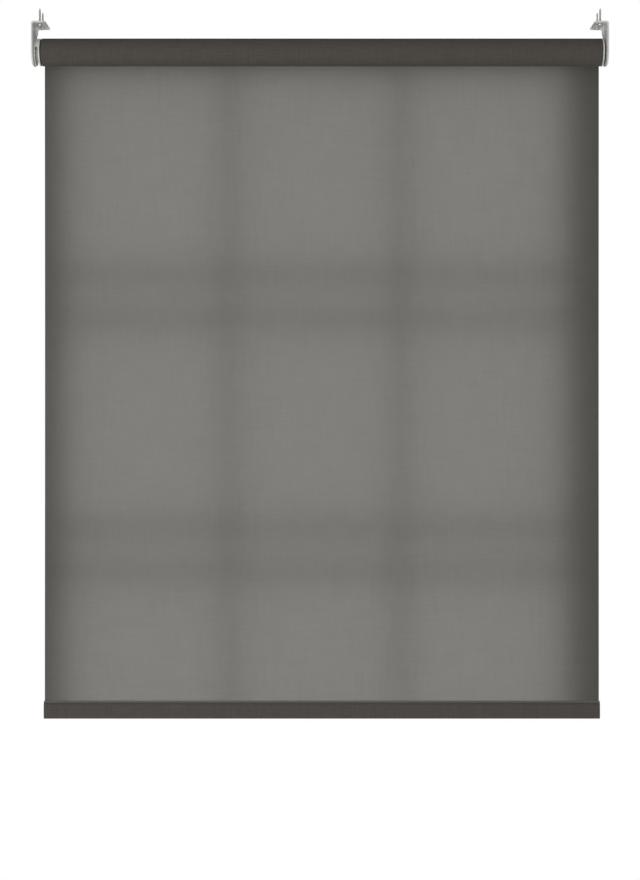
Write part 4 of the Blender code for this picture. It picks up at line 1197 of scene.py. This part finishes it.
def glowing_cloth():
    """The blind's cloth with a translucent share, whose colour is the mean of two noises
    drawn out along the weft and the warp, as thick and thin yarns show against the light."""
    made, tree, shader, place = woven("blind cloth", (0.066, 0.060, 0.054), (0.084, 0.078, 0.070))
    lines = []
    for stretch in ((0.05, 1.0, 1.0), (1.0, 0.04, 1.0)):
        drawn = node(tree, "ShaderNodeMapping", {"Vector": place, "Scale": stretch})
        values = {"Vector": drawn.outputs[0], "Scale": 480.0, "Detail": 3.0}
        lines.append(node(tree, "ShaderNodeTexNoise", values).outputs[0])
    both = node(tree, "ShaderNodeMath", {0: lines[0], 1: lines[1]}, operation="ADD")
    mean = node(tree, "ShaderNodeMath", {0: both.outputs[0], 1: 0.5}, operation="MULTIPLY")
    colour = varied(tree, mean.outputs[0], *GLOW, 0.36, 0.64)
    glow = node(tree, "ShaderNodeBsdfTranslucent", {"Color": colour})
    values = {0: SEE_THROUGH, 1: shader.outputs[0], 2: glow.outputs[0]}
    mixed = node(tree, "ShaderNodeMixShader", values)
    tree.links.new(mixed.outputs[0], tree.nodes["Material Output"].inputs["Surface"])
    return made


sheet = hanging_sheet()
sheet.data.materials.append(glowing_cloth())
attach(sheet, FIXED_BODY)
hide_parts("fabric_sheet")
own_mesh(sheet)


# ---- Bottom bar ----------------------------------------------------------------
# The fabric's hem, folded round a hollow aluminium lath and welded to itself in a narrow
# pressed band above it. The weld draws the cloth into faint puckers. A dark moulded cap
# closes each end, its tongue pushed into the lath.

BAR_BODY = "bottom_bar"
POCKET_WALL = 0.6 * MM
POCKET_HALF, POCKET_HEIGHT = 3.2 * MM, 28.2 * MM
POCKET_FOOT, SHOULDER_DROP, SHOULDER_ROUND = 2.6 * MM, 3.4 * MM, 3.0 * MM
WELD_HALF, WELD_FOOT = 0.7 * MM, 25.9 * MM
FOLD_GAP = 0.08 * MM  # half the space left inside where the two layers meet
PUCKER = 0.16 * MM
WELD_BAND, WELD_RIB = 2.6 * MM, 0.9 * MM  # height of the pressed band, and pitch of its ribs
# The weld band's two rib colours are paler than the cloth: painted glow, standing in for light let
# through the thin band
PAINTED_GLOW_WELD_RIB_COLOURS, WELD_ROUGHNESS = ((0.090, 0.087, 0.079), (0.120, 0.116, 0.106)), 0.55

pocket_low, pocket_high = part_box("bottom_pocket")
bar_y = (pocket_low[1] + pocket_high[1]) / 2
bar_z = pocket_low[2]


def pocket_outline(inset, steps=6):
    """The bar's section: round at its foot, flat at its sides, drawn in to the weld band.
    With an inset it is the space inside, which ends where the weld starts."""
    half, foot = POCKET_HALF - inset, POCKET_FOOT - inset
    top = POCKET_HEIGHT if inset == 0 else WELD_FOOT - inset
    band = WELD_HALF if inset == 0 else FOLD_GAP
    right = [
        (half, inset, foot),
        (half, WELD_FOOT - SHOULDER_DROP - inset, SHOULDER_ROUND),
        (band, WELD_FOOT - inset, 0.0 if inset else 0.8 * MM),
        (band, top - (0 if inset else 0.9 * MM), 0),
        (band, top, 0 if inset else 0.15 * MM),
    ]
    corners = [(-a, b, r) for a, b, r in right[::-1]] + right
    return rounded(corners, steps)


def pocket_surface():
    """The folded hem as outer and inner outlines along X. The outer one puckers by a sum of
    sines along X, strongest at the shoulder below the weld and gone a third of the way down."""
    outer, inner = pocket_outline(0), pocket_outline(POCKET_WALL)
    x = np.linspace(pocket_low[0], pocket_high[0], 221)[:, None]
    high = outer[:, 1] / POCKET_HEIGHT
    reach = np.exp(-(((high - 0.82) / 0.16) ** 2)) * np.sign(outer[:, 0])
    ripple = np.sin(x * 370 + 2 * np.sin(x * 41)) + 0.6 * np.sin(x * 611 + 1.7)
    y = outer[:, 0] + PUCKER * reach * ripple * (high < 0.97)
    z = outer[:, 1] + 0 * x
    skin = np.stack([x + 0 * y, y, z], axis=-1)
    core = np.stack([x + 0 * inner[:, 0], inner[:, 0] + 0 * x, inner[:, 1] + 0 * x], axis=-1)
    grid = np.concatenate([skin, core[::-1], skin[:1]])
    length = np.cumsum(np.linalg.norm(np.diff(outer, axis=0, prepend=outer[:1]), axis=1))
    place = np.stack([grid[..., 0], length + 0 * grid[..., 0]], axis=-1)
    grid, place = (np.concatenate([part, part[:, :1]], axis=1) for part in (grid, place))
    return surface("bottom_pocket_hem", grid + [0, bar_y, bar_z], uv=[place], sharp=50)


def folded_cloth():
    """The cloth of the hem. The welded band above the lath is pressed: smoother, and hatched with the
    welding tool's fine ribs, as sin(x) along the bar. Its paler colour is painted glow, standing in
    for light let through the thin band."""
    dark, light = (0.057, 0.052, 0.047), (0.077, 0.070, 0.062)
    made, tree, shader, _ = woven("blind cloth, folded", dark, light, from_uv=True)
    own = tree.nodes["Texture Coordinate"].outputs["Object"]
    parts = node(tree, "ShaderNodeSeparateXYZ", {0: own})
    start = bar_z + POCKET_HEIGHT - WELD_BAND
    values = {"Value": parts.outputs["Z"], "From Min": start - 0.3 * MM, "From Max": start}
    pressed = node(tree, "ShaderNodeMapRange", values).outputs["Result"]
    values = {0: parts.outputs["X"], 1: 2 * np.pi / WELD_RIB}
    turns = node(tree, "ShaderNodeMath", values, operation="MULTIPLY")
    ribs = node(tree, "ShaderNodeMath", {0: turns.outputs[0]}, operation="SINE").outputs[0]

    def over_weld(label, kind, end):
        mix = node(tree, "ShaderNodeMix", data_type=kind)
        sockets = {socket.identifier: socket for socket in (*mix.inputs, *mix.outputs)}
        tree.links.new(pressed, sockets["Factor_Float"])
        tree.links.new(shader.inputs[label].links[0].from_socket, sockets["A_" + end])
        tree.links.new(sockets["Result_" + end], shader.inputs[label])
        return sockets["B_" + end]

    # Painted glow: the band's colour is paler than the cloth, standing in for light let through it,
    # and hatched with its ribs
    painted_glow_ribs = varied(tree, ribs, *PAINTED_GLOW_WELD_RIB_COLOURS, 0.0, 1.0)
    tree.links.new(painted_glow_ribs, over_weld("Base Color", "RGBA", "Color"))
    over_weld("Roughness", "FLOAT", "Float").default_value = WELD_ROUGHNESS
    return made


hem = pocket_surface()
fit(hem, BAR_BODY, "blind_fabric", folded_cloth(), "bottom_pocket")

LATH_WALL, LATH_CORNER = 1.0 * MM, 1.6 * MM
lath_low, lath_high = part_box("bottom_lath")
lath_middle = (bar_y, (lath_low[2] + lath_high[2]) / 2)
lath_half = ((lath_high[1] - lath_low[1]) / 2, (lath_high[2] - lath_low[2]) / 2)


def lath_outline(inset):
    return box_outline(lath_half[0] - inset, lath_half[1] - inset, LATH_CORNER - inset, lath_middle)


lath_walls = tube_grid(lath_outline(0), lath_outline(LATH_WALL), lath_low[0], lath_high[0])
lath = surface("bottom_lath_extrusion", lath_walls, sharp=30)
fit(lath, BAR_BODY, "aluminium", ALUMINIUM, "bottom_lath")

CAP_WALL, CAP_TONGUE, CAP_EDGE = 1.2 * MM, 14 * MM, 0.45 * MM
CAP_EASE = ((0.0, 0.14), (CAP_EDGE / 3, 0.05), (CAP_EDGE, 0.0), (CAP_WALL, 0.0))  # depth, share
CAP_RISE, TONGUE_TAPER = 3 * MM, 0.4 * MM
CAP_PLASTIC = plastic("cap plastic", (0.040, 0.040, 0.039), (0.062, 0.062, 0.060), (0.42, 0.55))


def cap_piece(name, side):
    """A plate of the hem's own section, drawn in by a share of itself towards its outer
    face, and a tongue of the lath's section."""
    low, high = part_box(name)
    outer = low[0] if side == CONTROL else high[0]
    plate = []
    for depth, share in CAP_EASE:
        drawn = pocket_outline(0) * [1 - share, 1 - share / 4]
        drawn += [bar_y, bar_z + share * CAP_RISE]
        plate.append(ring_at(drawn, "X", outer - side * depth))
    inset = LATH_WALL + CLEARANCE
    steps = ((CAP_WALL / 2, inset), (CAP_TONGUE, inset), (CAP_TONGUE + CAP_WALL, inset + TONGUE_TAPER))
    tongue = [ring_at(lath_outline(grow), "X", outer - side * depth) for depth, grow in steps]
    cap = surface(name + "_moulding", stack(plate), sharp=35)
    return carve(cap, [surface("tongue", stack(tongue))], "UNION")


for name, side in (("control_bar_cap", CONTROL), ("idle_bar_cap", IDLE)):
    fit(cap_piece(name, side), BAR_BODY, "cap_plastic", CAP_PLASTIC, name)


# ---- Sizes, and the end --------------------------------------------------------

sizes = {"cad": cad_box, "visual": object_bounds()}
sizes = {label: [list(corner) for corner in box] for label, box in sizes.items()}
